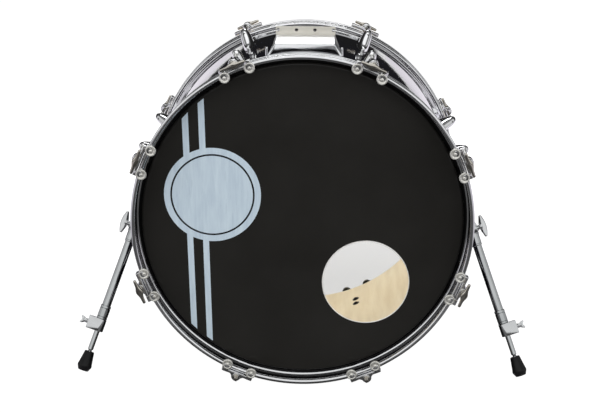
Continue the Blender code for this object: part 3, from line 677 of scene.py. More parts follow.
def make_materials():
    surface("wrap", (9, 9, 18), (16, 16, 28), (0.02, 0.05), tone_scale=8.0, bump_scale=70.0, bump=0.3,
            Coat_Weight=0.3, Coat_Roughness=0.03, IOR=1.4, Specular_Tint=(0.96, 0.94, 1.0, 1.0))
    surface("wood", (222, 206, 172), (238, 226, 196), (0.42, 0.6), tone_scale=9.0, rough_scale=20.0,
            stretch=(6.0, 6.0, 1.0), bump_scale=60.0, bump=0.05)
    surface("film", (37, 36, 34), (44, 43, 41), (0.05, 0.09), tone_scale=6.0, rough_scale=9.0,
            bump_scale=14.0, IOR=1.32)
    surface("clear", (82, 81, 68), (94, 93, 80), (0.1, 0.2), tone_scale=7.0, bump_scale=16.0, Alpha=0.2,
            IOR=1.45)
    surface("print", (204, 222, 236), (220, 237, 248), (0.25, 0.4), tone_scale=20.0, rough_scale=30.0,
            stretch=(8.0, 1.0, 1.0), bump_scale=300.0)
    surface("print_dark", (24, 26, 30), (36, 39, 44), (0.2, 0.35))
    surface("rim", (228, 227, 222), (246, 245, 241), (0.3, 0.45), bump=0.03)
    chrome("hoop", (224, 225, 227), (238, 239, 241), (0.05, 0.08), bump=0.002)
    # Painted shade and painted reflection: near-black on the hoops' inner flange and wall, where the
    # chrome lies in shade and mirrors the dark head. The front head's flesh hoop is plain black.
    surface("flesh_black_and_painted_shade", (9, 9, 10), (17, 17, 18), (0.10, 0.18), bump=0.03, IOR=1.3)
    chrome("bracket", (220, 222, 225), (242, 243, 245), (0.06, 0.14), stretch=BRUSHED)
    surface("flange", (200, 197, 187), (214, 211, 201), (0.3, 0.42), metallic=0.15)
    chrome("plate", (226, 227, 228), (244, 244, 245), (0.30, 0.40), stretch=BRUSHED)
    chrome("claw", (224, 225, 227), (246, 246, 247), (0.06, 0.14), bump=0.02)
    surface("foot", (228, 227, 220), (244, 243, 237), (0.09, 0.16), metallic=0.6, bump=0.03)
    chrome("lug", (222, 223, 225), (242, 243, 244), (0.08, 0.14))
    chrome("handle", (182, 177, 168), (206, 202, 194), (0.10, 0.16), bump=0.02)
    chrome("rod", (208, 208, 206), (228, 228, 226), (0.12, 0.22), bump=0.02)
    chrome("tube", (172, 175, 176), (192, 195, 196), (0.03, 0.06), bump=0.002)
    chrome("cast", (192, 194, 195), (214, 216, 217), (0.06, 0.12), bump=0.015)
    surface("screw", (38, 37, 36), (64, 62, 60), (0.3, 0.45), metallic=0.8)
    # Dark: the lugs' gaskets and the claws' pads, and painted shade on the batter head's collar.
    surface("gasket_and_painted_shade", (16, 16, 17), (28, 28, 30), (0.5, 0.7), bump=0.06)
    surface("rubber", (7, 7, 8), (14, 14, 15), (0.34, 0.50), tone_scale=90.0, bump_scale=900.0,
            bump=0.08, IOR=1.35)


# Placing

def placed(name, data):
    """A new object in the scene."""
    obj = bpy.data.objects.new(name, data)
    bpy.context.scene.collection.objects.link(obj)
    return obj


def piece(name, mesh, names, matrix, nodes=(), body="drum", own_frame=True, mirrored=True):
    """A piece that rides on a body and stands for CAD nodes, in a frame of its own or in the world's."""
    if not mesh.materials:
        for material in names:
            mesh.materials.append(materials[material])
    if not own_frame:
        mesh = moved(mesh.copy(), matrix)
        matrix = Matrix.Identity(4)
    obj = placed(name, mesh)
    obj.matrix_world = matrix
    obj.visible_glossy = mirrored
    bpy.context.view_layer.update()
    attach(obj, body)
    if nodes:
        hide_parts(*nodes)


# Shell and heads

def shell_mesh():
    """The shell's ring, with wrap on its outside and wood elsewhere."""
    inner = SHELL_RADIUS - SHELL_WALL
    edge = corner(SHELL_RADIUS, EDGE_PLANE, EDGE_ROUND, 6)
    inside = [(inner, EDGE_SLOPE - EDGE_PLANE), (inner, EDGE_PLANE - EDGE_SLOPE)]
    profile = both_ends(edge) + inside
    zones = [1] * len(profile)
    zones[len(edge) - 1] = 0
    return lathe(profile, RING_SEGMENTS, closed=True, zones=zones)


def collar_mesh():
    """The film's bend over the bearing edge, its collar and the flesh hoop that holds it."""
    profile = corner(COLLAR_RADIUS, FILM_OUTSIDE, COLLAR_RADIUS - FILM_RADIUS, 8)
    flesh_start = len(profile) + 1
    profile += [(COLLAR_RADIUS, FLESH_TOP + 0.001), (COLLAR_RADIUS + 0.0006, FLESH_TOP)]
    profile += corner(FLESH_OUTER, FLESH_TOP, FLESH_ROUND, 4)
    profile += corner(FLESH_OUTER, FLESH_BOTTOM, FLESH_ROUND, 4, top=False)
    profile += [(FLESH_INNER, FLESH_BOTTOM), (FLESH_INNER, EDGE_PLANE - EDGE_ROUND)]
    flesh_end = len(profile) - 2
    profile += [(FILM_RADIUS, FILM_INSIDE)]
    zones = [1 if flesh_start <= number <= flesh_end else 2 for number in range(len(profile))]
    return lathe(profile, RING_SEGMENTS, closed=True, zones=zones)


def head_mesh(*holes):
    film = plate([circle(FILM_RADIUS, RING_SEGMENTS), *holes], FILM_INSIDE, FILM_OUTSIDE)
    return gathered(film, collar_mesh())


def port_rim_mesh():
    """A thin bead around the port's edge, through the film."""
    inner, outer = PORT_RIM_INNER, PORT_RIM_OUTER
    back = FILM_INSIDE - PORT_RIM_HEIGHT
    profile = arc(((inner + outer) / 2, FILM_OUTSIDE), ((outer - inner) / 2, PORT_RIM_HEIGHT), 180, 0, 9)
    profile += [(outer, back), (inner, back)]
    return shifted(lathe(profile, PRINT_SEGMENTS, closed=True), *PORT_PLACE)


def stripe_mesh(top, foot):
    """A stripe along the line through two points, which ends at the print's edge."""
    lean = (top[0] - foot[0]) / (top[1] - foot[1])
    ends = []
    for across, up in ((-1, 1), (1, 1), (1, -1), (-1, -1)):
        x = foot[0] + lean * (up * STRIPE_END - foot[1]) + across * STRIPE_WIDTH / 2
        ends.append((x, up * math.sqrt(PRINT_EDGE ** 2 - x ** 2)))
    return plate([ends], FILM_OUTSIDE, FILM_OUTSIDE + PRINT_HEIGHT)


def roundel_mesh():
    """A plain disc over the stripes, with a thin dark ring inside its edge."""
    low, middle, high = [FILM_OUTSIDE + layers * PRINT_HEIGHT for layers in (1, 2, 3)]
    edge, inner, outer = [circle(radius, PRINT_SEGMENTS, ROUNDEL_PLACE) for radius in ROUNDEL_RADII]
    return gathered(plate([edge], low, middle), painted(plate([outer, inner], middle, high), 1))


def build_drum():
    front, batter = side_matrix(1), side_matrix(-1)
    piece("shell_wrapped", shell_mesh(), ["wrap", "wood"], front, ["shell"])
    film = head_mesh(circle(PORT_RADIUS, PRINT_SEGMENTS, PORT_PLACE))
    piece("resonant_head_film", film, ["film", "flesh_black_and_painted_shade", "film"], front,
          ["resonant_head"])
    # The batter head's collar is dark as painted shade, though its film is clear.
    piece("batter_head_film", head_mesh(), ["clear", "hoop", "gasket_and_painted_shade"], batter,
          ["batter_head"], mirrored=False)
    piece("port_rim", port_rim_mesh(), ["rim"], front)
    for number, (top, foot) in enumerate(STRIPES, 1):
        piece(f"stripe_{number}", stripe_mesh(top, foot), ["print"], front)
    piece("roundel", roundel_mesh(), ["print", "print_dark"], front)


# Hoops and claws

def hoop_mesh():
    """A bead, a ribbed wall and a rolled back edge; inside, a flange, a cove and a wall, with the flange
    and the wall black as painted shade and painted reflection.
    """
    outer, inner = HOOP_WALL_OUTER, HOOP_WALL_INNER
    bead = ((HOOP_RADIUS - HOOP_LIP) / 2, HOOP_BEAD_CROWN)
    rib = (HOOP_RIB_HEIGHT, HOOP_RIB_WIDTH / 2)
    roll = ((outer - inner) / 2 + HOOP_ROLL_SPARE, HOOP_ROLL)
    nose = (HOOP_FLANGE_FRONT - HOOP_FLANGE_BACK) / 2
    nose_up = (HOOP_FLANGE_BACK + HOOP_FLANGE_FRONT) / 2
    cove_up = HOOP_FLANGE_FRONT + HOOP_COVE
    profile = arc(((HOOP_LIP + HOOP_RADIUS) / 2, HOOP_FRONT - HOOP_BEAD_CROWN), bead, 180, 0, 17)
    neck = (HOOP_STEP, HOOP_NECK_HEIGHT)
    profile += arc((HOOP_RADIUS, HOOP_BEAD_FOOT - HOOP_STEP), neck, 90, 180, 7)
    profile += arc((outer, (HOOP_BEAD_FOOT + HOOP_BACK) / 2), rib, 90, -90, 11)
    profile += [(outer, HOOP_ROLL_FOOT)]
    profile += arc(((outer + inner) / 2, HOOP_BACK + HOOP_ROLL), roll, 0, -180, 11)
    profile += [(inner, HOOP_ROLL_FOOT), (inner, HOOP_FLANGE_BACK)]
    flange_start = len(profile)
    profile += arc((HOOP_FLANGE_INNER + nose, nose_up), (nose, nose), 270, 90, 9)
    flange_end = len(profile)
    profile += arc((inner - HOOP_COVE, cove_up), (HOOP_COVE, HOOP_COVE), -90, 0, 10)
    wall = len(profile) - 1
    profile += [(inner, HOOP_BEAD_FOOT - HOOP_LIP_HEIGHT)]
    profile += arc((inner, HOOP_BEAD_FOOT), (inner - HOOP_LIP, HOOP_LIP_HEIGHT), -90, -170, 5)
    # Painted shade: the flange and the inner wall take the near-black material in place of chrome.
    black = [*range(flange_start, flange_end), wall]
    zones = [1 if number in black else 0 for number in range(len(profile))]
    return lathe(profile, RING_SEGMENTS, closed=True, zones=zones)


def claw_foot_mesh():
    """A round foot with a raised rim, a dished face, a riveted stud and a dark pad under it."""
    profile = [(0.0, 0.0052)]
    profile += arc((0.0, 0.0032), (0.0030, 0.0020), 70, 0, 5)
    profile += [(0.0031, 0.0028), (0.0038, 0.0026), (0.0058, 0.0027), (0.0064, 0.0031)]
    profile += arc((0.0078, 0.0032), (0.0014, 0.0011), 160, 60, 6)
    profile += arc((0.0083, 0.0030), (0.0010, 0.0012), 60, 0, 4)
    profile += [(0.0093, 0.0004), (0.0090, 0.0), (0.0, 0.0)]
    zones = [1] * (len(profile) - 2) + [2]
    return lathe(profile, DISC_SEGMENTS, zones=zones)


def claw_mesh(foot_inset):
    """A bridge with the rod's eye over the hoop, and two arms down to the feet."""
    foot_up = HOOP_RADIUS - foot_inset
    half = CLAW_HALF_LENGTH
    outline = [(-half, CLAW_TOP), (-half, CLAW_SEAT), (half, CLAW_SEAT), (half, CLAW_TOP)]
    outline += [(CLAW_EYE_FOOT, CLAW_TOP)]
    outline += arc((0.0, ROD_CIRCLE), (CLAW_EYE_RADIUS, CLAW_EYE_RADIUS), 8, 172, 16)
    outline += [(-CLAW_EYE_FOOT, CLAW_TOP)]
    bridge = plate([outline], CLAW_FACE - CLAW_BRIDGE_WIDTH, CLAW_FACE)
    meshes = [rounded(bridge, CLAW_BRIDGE_EDGE)]
    for side in (-1, 1):
        across = side * CLAW_FOOT_SPACING / 2
        low = (across - CLAW_ARM_WIDTH / 2, foot_up, CLAW_ARM_BACK)
        high = (across + CLAW_ARM_WIDTH / 2, CLAW_TOP, CLAW_ARM_FRONT)
        meshes.append(block(low, high, CLAW_ARM_EDGE))
        meshes.append(shifted(claw_foot_mesh(), across, foot_up, CLAW_BACK))
    return gathered(*meshes)


def build_hoops():
    hoop = hoop_mesh()
    for label, front in (("resonant", 1), ("batter", -1)):
        # The hoop's second material is painted shade on its inner flange and wall.
        piece(f"{label}_hoop_ring", hoop, ["hoop", "flesh_black_and_painted_shade"], side_matrix(front),
              [f"{label}_hoop"], mirrored=front == 1)
    claws = {front: claw_mesh(inset) for front, inset in CLAW_FOOT_INSETS.items()}
    for label, front, index, matrix in stations():
        nodes = [f"front_claw_{index}"] if front == 1 else []
        piece(f"{label}_claw_{index}_cast", claws[front], ["claw", "foot", "gasket_and_painted_shade"], matrix,
              nodes, own_frame=False, mirrored=front == 1)


# Tension rods, about their own axis

def shank_mesh():
    """The washer, the plain shank and the thread."""
    profile = [(0.0, WASHER_FRONT), (WASHER_RADIUS - 0.0016, WASHER_FRONT)]
    profile += corner(WASHER_RADIUS, WASHER_FRONT, 0.0008)
    profile += corner(WASHER_RADIUS, WASHER_BACK, 0.0005, 4, top=False)
    profile += [(ROD_RADIUS, WASHER_BACK), (ROD_RADIUS, THREAD_TOP), (0.0, THREAD_TOP)]
    return gathered(lathe(profile, ROD_SEGMENTS), threaded(ROD_RADIUS, ROD_END, THREAD_TOP))


def stem_mesh():
    """The collar between the washer and the handle: a rolled shoulder, a waist and a flare."""
    back, front = HANDLE_BACK, WASHER_FRONT
    profile = [(0.0, back + 0.0035), (STEM_RADIUS, back + 0.0030), (STEM_RADIUS, back)]
    profile += [(0.0041, back - 0.0012), (0.0037, front + 0.0058), (0.0040, front + 0.0048)]
    profile += arc((STEM_RADIUS - 0.0018, front + 0.0022), (0.0018, 0.0022), 80, -80, 8)
    profile += [(0.0, front)]
    return lathe(profile, ROD_SEGMENTS)


def handle_section(x, half_height, half_depth):
    """A rounded diamond across the handle at one place along it."""
    middle = (HANDLE_BACK + HANDLE_FRONT) / 2
    points = squared_circle(HANDLE_POINTS, HANDLE_SQUARENESS)
    return [(x, half_height * up, middle + half_depth * out) for out, up in points]


def handle_mesh():
    """A T handle: a diamond hub with arms that taper to blunt, rounded ends."""
    half = HANDLE_LENGTH / 2
    sizes = [
        (0.0, 0.0062, 0.0035), (0.0020, 0.0060, 0.0035), (0.0045, 0.0052, 0.0034),
        (0.0070, 0.0042, 0.0032), (0.0095, 0.0034, 0.0030), (0.0130, 0.0030, 0.0028),
        (0.0190, 0.0027, 0.0026), (half - 0.0012, 0.0025, 0.0024),
        (half - 0.0004, 0.0021, 0.0020), (half, 0.0012, 0.0012),
    ]
    other_arm = [(-x, height, depth) for x, height, depth in reversed(sizes[1:])]
    return loft([handle_section(*size) for size in other_arm + sizes])


def key_head_mesh():
    """A square key head with rounded edges on a round collar."""
    half = KEY_HEAD_SIDE / 2
    low = (-half, -half, KEY_COLLAR - 0.001)
    head = block(low, (half, half, KEY_COLLAR + KEY_HEAD_LENGTH), KEY_HEAD_EDGE)
    profile = [(0.0, KEY_COLLAR)]
    profile += corner(STEM_RADIUS, KEY_COLLAR, 0.0006, 4)
    profile += [(STEM_RADIUS, WASHER_FRONT), (0.0, WASHER_FRONT)]
    return gathered(head, lathe(profile, ROD_SEGMENTS))


def build_rods():
    t_rod = gathered(painted(shank_mesh(), 1), stem_mesh(), handle_mesh())
    key_rod = gathered(painted(shank_mesh(), 1), key_head_mesh())
    on_axis = Matrix.Translation((0.0, ROD_CIRCLE, 0.0))
    for label, _, index, matrix in stations():
        mesh = key_rod if index in KEY_ROD_STATIONS else t_rod
        node = f"{label}_tension_rod_{index}"
        piece(f"{node}_turned", mesh, ["handle", "rod"], matrix @ on_axis, [node],
              f"{label}_rod_{index}", own_frame=False)


# Lugs

def lug_size(share):
    """Height and half width of the lug at a share of its length from the tall face."""
    fall = 0.5 - 0.5 * math.cos(math.pi * share)
    height = LUG_CROWN + (LUG_NOSE_HEIGHT - LUG_CROWN) * fall
    width = LUG_HALF_WIDTH + (LUG_NOSE_HALF_WIDTH - LUG_HALF_WIDTH) * share ** 3
    return height, width


def lug_section(share, depth, narrow=1.0, low=1.0):
    """An arch across the lug at a share of its length, drawn in to a share of its width and height."""
    height, width = lug_size(share)
    points = []
    for i in range(LUG_RING_POINTS):
        angle = math.pi * i / (LUG_RING_POINTS - 1)
        across = width * narrow * signed_power(math.cos(angle), LUG_SQUARENESS)
        points.append((across, LUG_SEAT + height * low * math.sin(angle), depth))
    return points


def lug_mesh():
    """A teardrop casting with a domed tall end and a rounded nose."""
    length = LUG_FACE - LUG_NOSE - LUG_DOME
    sections = []
    for step in range(LUG_DOME_STEPS):
        angle = math.pi / 2 * step / LUG_DOME_STEPS
        narrow, low = [share + (1.0 - share) * math.sin(angle) for share in LUG_FACE_SHARES]
        sections.append(lug_section(0.0, LUG_FACE - LUG_DOME * (1.0 - math.cos(angle)), narrow, low))
    for step in range(LUG_STEPS + 1):
        share = step / LUG_STEPS
        sections.append(lug_section(share, LUG_FACE - LUG_DOME - (length - LUG_NOSE_LENGTH) * share))
    sections.append(lug_section(1.0, LUG_NOSE + 0.0006, 0.88, 0.85))
    sections.append(lug_section(1.0, LUG_NOSE, 0.60, 0.55))
    return loft(sections)


def swivel_nut_mesh():
    """The nut that the rod enters, where it stands out of the lug's dome."""
    back = LUG_FACE - NUT_LENGTH
    profile = [(ROD_RADIUS, back), (ROD_RADIUS, LUG_FACE - 0.0012)]
    profile += [(ROD_RADIUS + 0.0006, LUG_FACE - 0.0006), (NUT_RADIUS - 0.0008, LUG_FACE - 0.0006)]
    profile += [(NUT_RADIUS, LUG_FACE - 0.0014), (NUT_RADIUS, back)]
    return shifted(lathe(profile, HUB_SEGMENTS, closed=True), 0.0, ROD_CIRCLE)


def gasket_mesh():
    """The thin pad between the lug and the shell, a little larger than the lug's foot."""
    right = []
    for step in range(GASKET_STEPS + 1):
        share = step / GASKET_STEPS
        right.append((lug_size(share)[1] + GASKET_SPARE, LUG_FACE - (LUG_FACE - LUG_NOSE) * share))
    pad = plate([both_sides(right)], -LUG_SEAT - SEAT_DEPTH, GASKET_HEIGHT - LUG_SEAT)
    return moved(pad, Matrix.Rotation(math.pi / 2, 4, "X") @ Matrix.Scale(-1, 4, (0.0, 0.0, 1.0)))


def inside_screw_mesh(depth):
    """A screw head and its washer on the shell's inside, at a place along the drum."""
    inside = (SHELL_RADIUS - SHELL_WALL) * FACET
    profile = [(0.0, 0.0038), (0.0014, 0.0037)]
    profile += arc((0.0, 0.0012), (0.0042, 0.0024), 55, 0, 5)
    profile += [(0.0044, 0.0010), (0.0066, 0.0009), (0.0068, 0.0), (0.0, 0.0)]
    head = along_y(lathe(profile, SCREW_SEGMENTS))
    return shifted(moved(head, Matrix.Rotation(math.pi, 4, "Z")), 0.0, inside + SEAT_DEPTH, depth)


def bracket_screw_mesh():
    """The four screws that hold the tom bracket, inside the shell."""
    meshes = []
    for side in (-1, 1):
        turn = Matrix.Rotation(side * BRACKET_SCREW_TURN, 4, "Z")
        for depth in (-BRACKET_SCREW_DEPTH, BRACKET_SCREW_DEPTH):
            meshes.append(moved(inside_screw_mesh(depth), turn))
    return gathered(*meshes)


def build_lugs():
    lug = gathered(lug_mesh(), painted(swivel_nut_mesh(), 1), painted(gasket_mesh(), 2))
    screws = gathered(*[inside_screw_mesh(depth) for depth in LUG_SCREW_PLACES])
    for label, _, index, matrix in stations():
        node = f"{label}_lug_{index}"
        piece(f"{node}_cast", lug, ["lug", "rod", "gasket_and_painted_shade"], matrix, [node],
              own_frame=False)
        piece(f"{node}_screws", screws, ["screw"], matrix, own_frame=False)


# Tom bracket, in the front side's frame

def bracket_section(half, spread, depth, inset=0.0):
    """The saddle across the shell: skirts that spread to the shell and a flat top with round corners."""
    top = BRACKET_TOP - inset
    edge = half - inset
    foot = edge + spread
    foot_up = math.sqrt(SHELL_RADIUS ** 2 - foot ** 2) - BRACKET_SINK
    lean = math.degrees(math.atan2(spread, top - foot_up))
    centre = (edge - BRACKET_ROUND, top - BRACKET_ROUND)
    outline = both_sides([(foot, foot_up)] + arc(centre, (BRACKET_ROUND, BRACKET_ROUND), lean, 90, 7))
    radius = SHELL_RADIUS - BRACKET_SINK
    start = math.asin(foot / SHELL_RADIUS)
    for i in range(1, BRACKET_SEAT_STEPS):
        angle = -start + 2.0 * start * i / BRACKET_SEAT_STEPS
        outline.append((radius * math.sin(angle), radius * math.cos(angle)))
    return [(x, y, depth) for x, y in outline]


def saddle_mesh():
    """The bracket's body, from its front to its rear; its top has a material of its own."""
    saddle = loft([
        bracket_section(*BRACKET_FRONT_SPAN, BRACKET_FRONT, BRACKET_EDGE),
        bracket_section(*BRACKET_FRONT_SPAN, BRACKET_FRONT - 0.0004, 0.0004),
        bracket_section(*BRACKET_FRONT_SPAN, BRACKET_FRONT - BRACKET_EDGE),
        bracket_section(*BRACKET_REAR_SPAN, BRACKET_EDGE - BRACKET_FRONT),
        bracket_section(*BRACKET_REAR_SPAN, -BRACKET_FRONT, BRACKET_EDGE),
    ])
    for polygon in saddle.polygons:
        if abs(polygon.normal.z) < 0.2 and polygon.center.length > SHELL_RADIUS:
            polygon.material_index = 2
    return saddle


def flange_mesh():
    """The upright plate at the bracket's rear, with its row of holes."""
    half = BRACKET_REAR_SPAN[0]
    centre = (half - FLANGE_CORNER, FLANGE_TOP - FLANGE_CORNER)
    right = [(half, BRACKET_TOP - 0.001)] + arc(centre, (FLANGE_CORNER, FLANGE_CORNER), 0, 90, 5)
    loops = [both_sides(right)]
    for i in range(FLANGE_HOLE_COUNT):
        across = FLANGE_HOLE_PITCH * (i - (FLANGE_HOLE_COUNT - 1) / 2)
        loops.append(circle(FLANGE_HOLE_RADIUS, ROD_SEGMENTS, (across, FLANGE_HOLE_UP)))
    return rounded(plate(loops, -BRACKET_FRONT, FLANGE_THICKNESS - BRACKET_FRONT), FLANGE_EDGE, 2)


def bracket_mesh():
    ears = []
    for side in (-1, 1):
        foot = side * sum(BRACKET_FRONT_SPAN)
        low = (foot - 0.0028, SHELL_RADIUS - 0.012, BRACKET_FRONT - 0.011)
        high = (foot + 0.0012, BRACKET_TOP - 0.0055, BRACKET_FRONT - 0.0006)
        ears.append(seated(block(low, high, EAR_EDGE)))
    return gathered(saddle_mesh(), painted(flange_mesh(), 1), *ears)


def build_bracket():
    front = side_matrix(1)
    piece("tom_bracket_pressed", bracket_mesh(), ["bracket", "flange", "plate"], front,
          ["tom_bracket"])
    piece("tom_bracket_screws", bracket_screw_mesh(), ["screw"], front)


# Spurs

def thumb_bar_mesh():
    """A thumb bar along Z: boat-shaped, with a bowed outer edge, a V towards the hub and round ends."""
    half = BAR_LENGTH / 2
    swell = BAR_HALF_WIDTH - BAR_TIP
    sections = []
    for step in range(BAR_STEPS + 1):
        share = math.cos(math.pi * step / BAR_STEPS)
        reach = abs(share)
        outer = BAR_TIP + swell * (1.0 - reach ** 2)
        inner = BAR_TIP + swell * min(1.0, (1.0 - reach) * BAR_V_SLOPE)
        past = max(0.0, (reach - 1.0 + BAR_END_SHARE) / BAR_END_SHARE)
        end = math.sqrt(max(BAR_END_LEAST, 1.0 - past ** 2))
        depth = BAR_HALF_THICKNESS * (1.0 - BAR_THINNING * reach ** 2) * end
        section = []
        for out, across in squared_circle(BAR_POINTS, BAR_SQUARENESS):
            wide = outer if out > 0.0 else inner
            section.append((BAR_CENTRE + wide * end * out, depth * across, half * share))
        sections.append(section)
    return loft(sections)


def pivot_bolt_mesh():
    """The bolt that clamps the leg: a plain shank, a stepped hub and its thumb bar, along +X."""
    tip = -HEAD_HALF - BOLT_GRIP
    hub, waist, shoulder = BOLT_HUB_RADIUS, BOLT_HUB_RADIUS * 0.72, BOLT_SHOULDER
    profile = [(0.0, BAR_CENTRE), (hub * 0.7, BAR_CENTRE - 0.0010), (hub * 0.8, BAR_CENTRE - 0.0050)]
    profile += [(waist, shoulder + 0.0030), (waist, shoulder + 0.0024), (hub, shoulder + 0.0019)]
    profile += [(hub, shoulder), (BOLT_RADIUS, shoulder), (BOLT_RADIUS, tip + 0.0008)]
    profile += [(BOLT_RADIUS - 0.0008, tip), (0.0, tip)]
    return gathered(along_x(lathe(profile, HUB_SEGMENTS)), thumb_bar_mesh())


def wing_outline():
    """The clamp screw's wings: swept up from the hub to rounded tips, with a dip over the hub."""
    half = WING_LENGTH / 2
    base = CLAMP_SCREW_SHOULDER + 0.0015
    top = base + WING_RISE
    tip = (WING_TIP * 0.42, WING_TIP * 0.45)
    right = [(half * 0.30, base), (half * 0.62, base + (WING_RISE - WING_TIP) * 0.45)]
    right += [(half * 0.93, top - WING_TIP)]
    right += arc((half - tip[0], top - tip[1]), tip, -60, 120, 7)
    right += [(half * 0.52, top - WING_TIP * 0.28), (half * 0.22, top - WING_TIP * 0.62)]
    return both_sides(right)


def clamp_screw_mesh():
    """The clamp's wing screw along +X: a thread, a stepped hub and two wings."""
    hub, shoulder = CLAMP_HUB_RADIUS, CLAMP_SCREW_SHOULDER
    hub_end = shoulder + WING_RISE - WING_TIP
    profile = [(0.0, hub_end + 0.0006), (hub * 0.55, hub_end + 0.0004)]
    profile += corner(hub, hub_end, 0.0012, 4)
    profile += [(hub, shoulder + 0.0022), (hub * 0.9, shoulder + 0.0018)]
    profile += [(hub * 1.08, shoulder + 0.0008), (hub * 1.08, shoulder), (0.0, shoulder)]
    flat = plate([wing_outline()], -WING_THICKNESS / 2, WING_THICKNESS / 2)
    wings = moved(rounded(flat, WING_THICKNESS * 0.3), Matrix.Rotation(math.pi / 2, 4, "X"))
    thread = threaded(CLAMP_SCREW_RADIUS, CLAMP_SCREW_TIP, shoulder)
    return along_x(gathered(lathe(profile, HUB_SEGMENTS), wings, thread))


def tube_mesh():
    """The outer tube: a round head, a sleeve under it, the tube and a lower collar with two grooves."""
    sleeve, tube = SLEEVE_RADIUS, TUBE_RADIUS
    groove = sleeve - GROOVE_DEPTH
    step = sleeve - tube
    end, collar, foot = -SLEEVE_END, -SPUR_COLLAR_START, -TUBE_LENGTH
    profile = [(0.0, -SLEEVE_TOP), (sleeve, -SLEEVE_TOP), (sleeve, end + 0.0026)]
    profile += [(groove, end + 0.0020), (sleeve, end + 0.0014), (sleeve, end)]
    profile += arc((tube, end), (step, step), -20, -90, 5)
    profile += [(tube, collar + step)]
    profile += corner(sleeve, collar + step, step)
    for down in GROOVES:
        profile += [(sleeve, collar - down + GROOVE_HALF), (groove, collar - down)]
        profile += [(sleeve, collar - down - GROOVE_HALF)]
    profile += [(sleeve, foot + 0.0006), (sleeve - 0.0006, foot), (SPUR_BORE_RADIUS, foot)]
    profile += [(SPUR_BORE_RADIUS, -SPUR_BORE_TOP), (0.0, -SPUR_BORE_TOP)]
    half = HEAD_HALF
    head = [(0.0, half), (0.0072, half), (0.0076, half - 0.0004)]
    head += corner(HEAD_RADIUS, half, 0.0016)
    return gathered(lathe(profile, TUBE_SEGMENTS), along_x(lathe(both_ends(head), DISC_SEGMENTS)))


def clamp_mesh():
    """The block that grips the inner rod, with a flat outer end and a rounded back."""
    outline = [(CLAMP_OUTER, -CLAMP_HALF_WIDTH), (CLAMP_OUTER, CLAMP_HALF_WIDTH)]
    outline += arc((0.0, 0.0), (CLAMP_HALF_WIDTH, CLAMP_HALF_WIDTH), 90, 270, 17)
    bore = circle(SPUR_ROD_RADIUS + CLEARANCE, HUB_SEGMENTS)
    return rounded(plate([outline, bore], -CLAMP_TOP - CLAMP_LENGTH, -CLAMP_TOP), CLAMP_EDGE)


def spur_rod_mesh(shoulder):
    """The inner rod down to its shoulder, and the threaded neck that the foot screws onto."""
    top = SPUR_ROD_LENGTH - shoulder
    inner = SPUR_ROD_RADIUS - SPUR_ROD_BEVEL
    profile = [(0.0, top), (inner, top), (SPUR_ROD_RADIUS, top - SPUR_ROD_BEVEL)]
    profile += [(SPUR_ROD_RADIUS, SPUR_ROD_BEVEL - shoulder), (inner, -shoulder), (0.0, -shoulder)]
    low = -shoulder - NECK_LENGTH
    neck = threaded(NECK_RADIUS, low, 0.0005 - shoulder, SCREW_SEGMENTS)
    return gathered(lathe(profile), neck)


def foot_mesh(tread):
    """The rubber foot: a cone that widens to a band over a bevelled, grooved tread."""
    top = FOOT_HEIGHT - tread
    bevel = FOOT_BEVEL - tread
    bore = NECK_RADIUS + CLEARANCE
    bore_end = top - FOOT_BORE_DEPTH
    profile = [(0.0, bore_end), (bore, bore_end), (bore, top - 0.0005), (bore + 0.0005, top)]
    profile += arc((FOOT_TOP_RADIUS - 0.0012, top - 0.0012), (0.0012, 0.0012), 90, 8, 5)
    profile += [(FOOT_WIDE_RADIUS - 0.0006, bevel + FOOT_BAND + 0.0016)]
    profile += [(FOOT_WIDE_RADIUS, bevel + FOOT_BAND), (FOOT_WIDE_RADIUS, bevel + 0.0004)]
    profile += [(FOOT_WIDE_RADIUS - 0.0004, bevel - 0.0004)]
    profile += [(FOOT_TREAD_RADIUS + 0.0004, 0.0008 - tread), (FOOT_TREAD_RADIUS - 0.0004, -tread)]
    for groove in FOOT_GROOVES:
        profile += [(groove + 0.0006, -tread), (groove + 0.0003, FOOT_GROOVE_DEPTH - tread)]
        profile += [(groove - 0.0003, FOOT_GROOVE_DEPTH - tread), (groove - 0.0006, -tread)]
    profile += [(0.0, -tread)]
    return lathe(profile, DISC_SEGMENTS)


def boss_mesh(face):
    """The boss under the leg's head, along X from its face, with a groove and a flared root."""
    radius = BOSS_RADIUS
    end = face - BOSS_LENGTH
    profile = [(0.0, face), (0.0078, face), (0.0082, face - 0.0004)]
    profile += corner(radius, face, 0.0014)
    profile += [(radius, face - 0.006), (radius - 0.0008, face - 0.0068)]
    profile += [(radius, face - 0.0076), (radius, face - 0.012)]
    profile += [(radius + 0.0022, end + 0.006), (radius + 0.004, end), (0.0, end)]
    return along_x(lathe(profile, DISC_SEGMENTS))


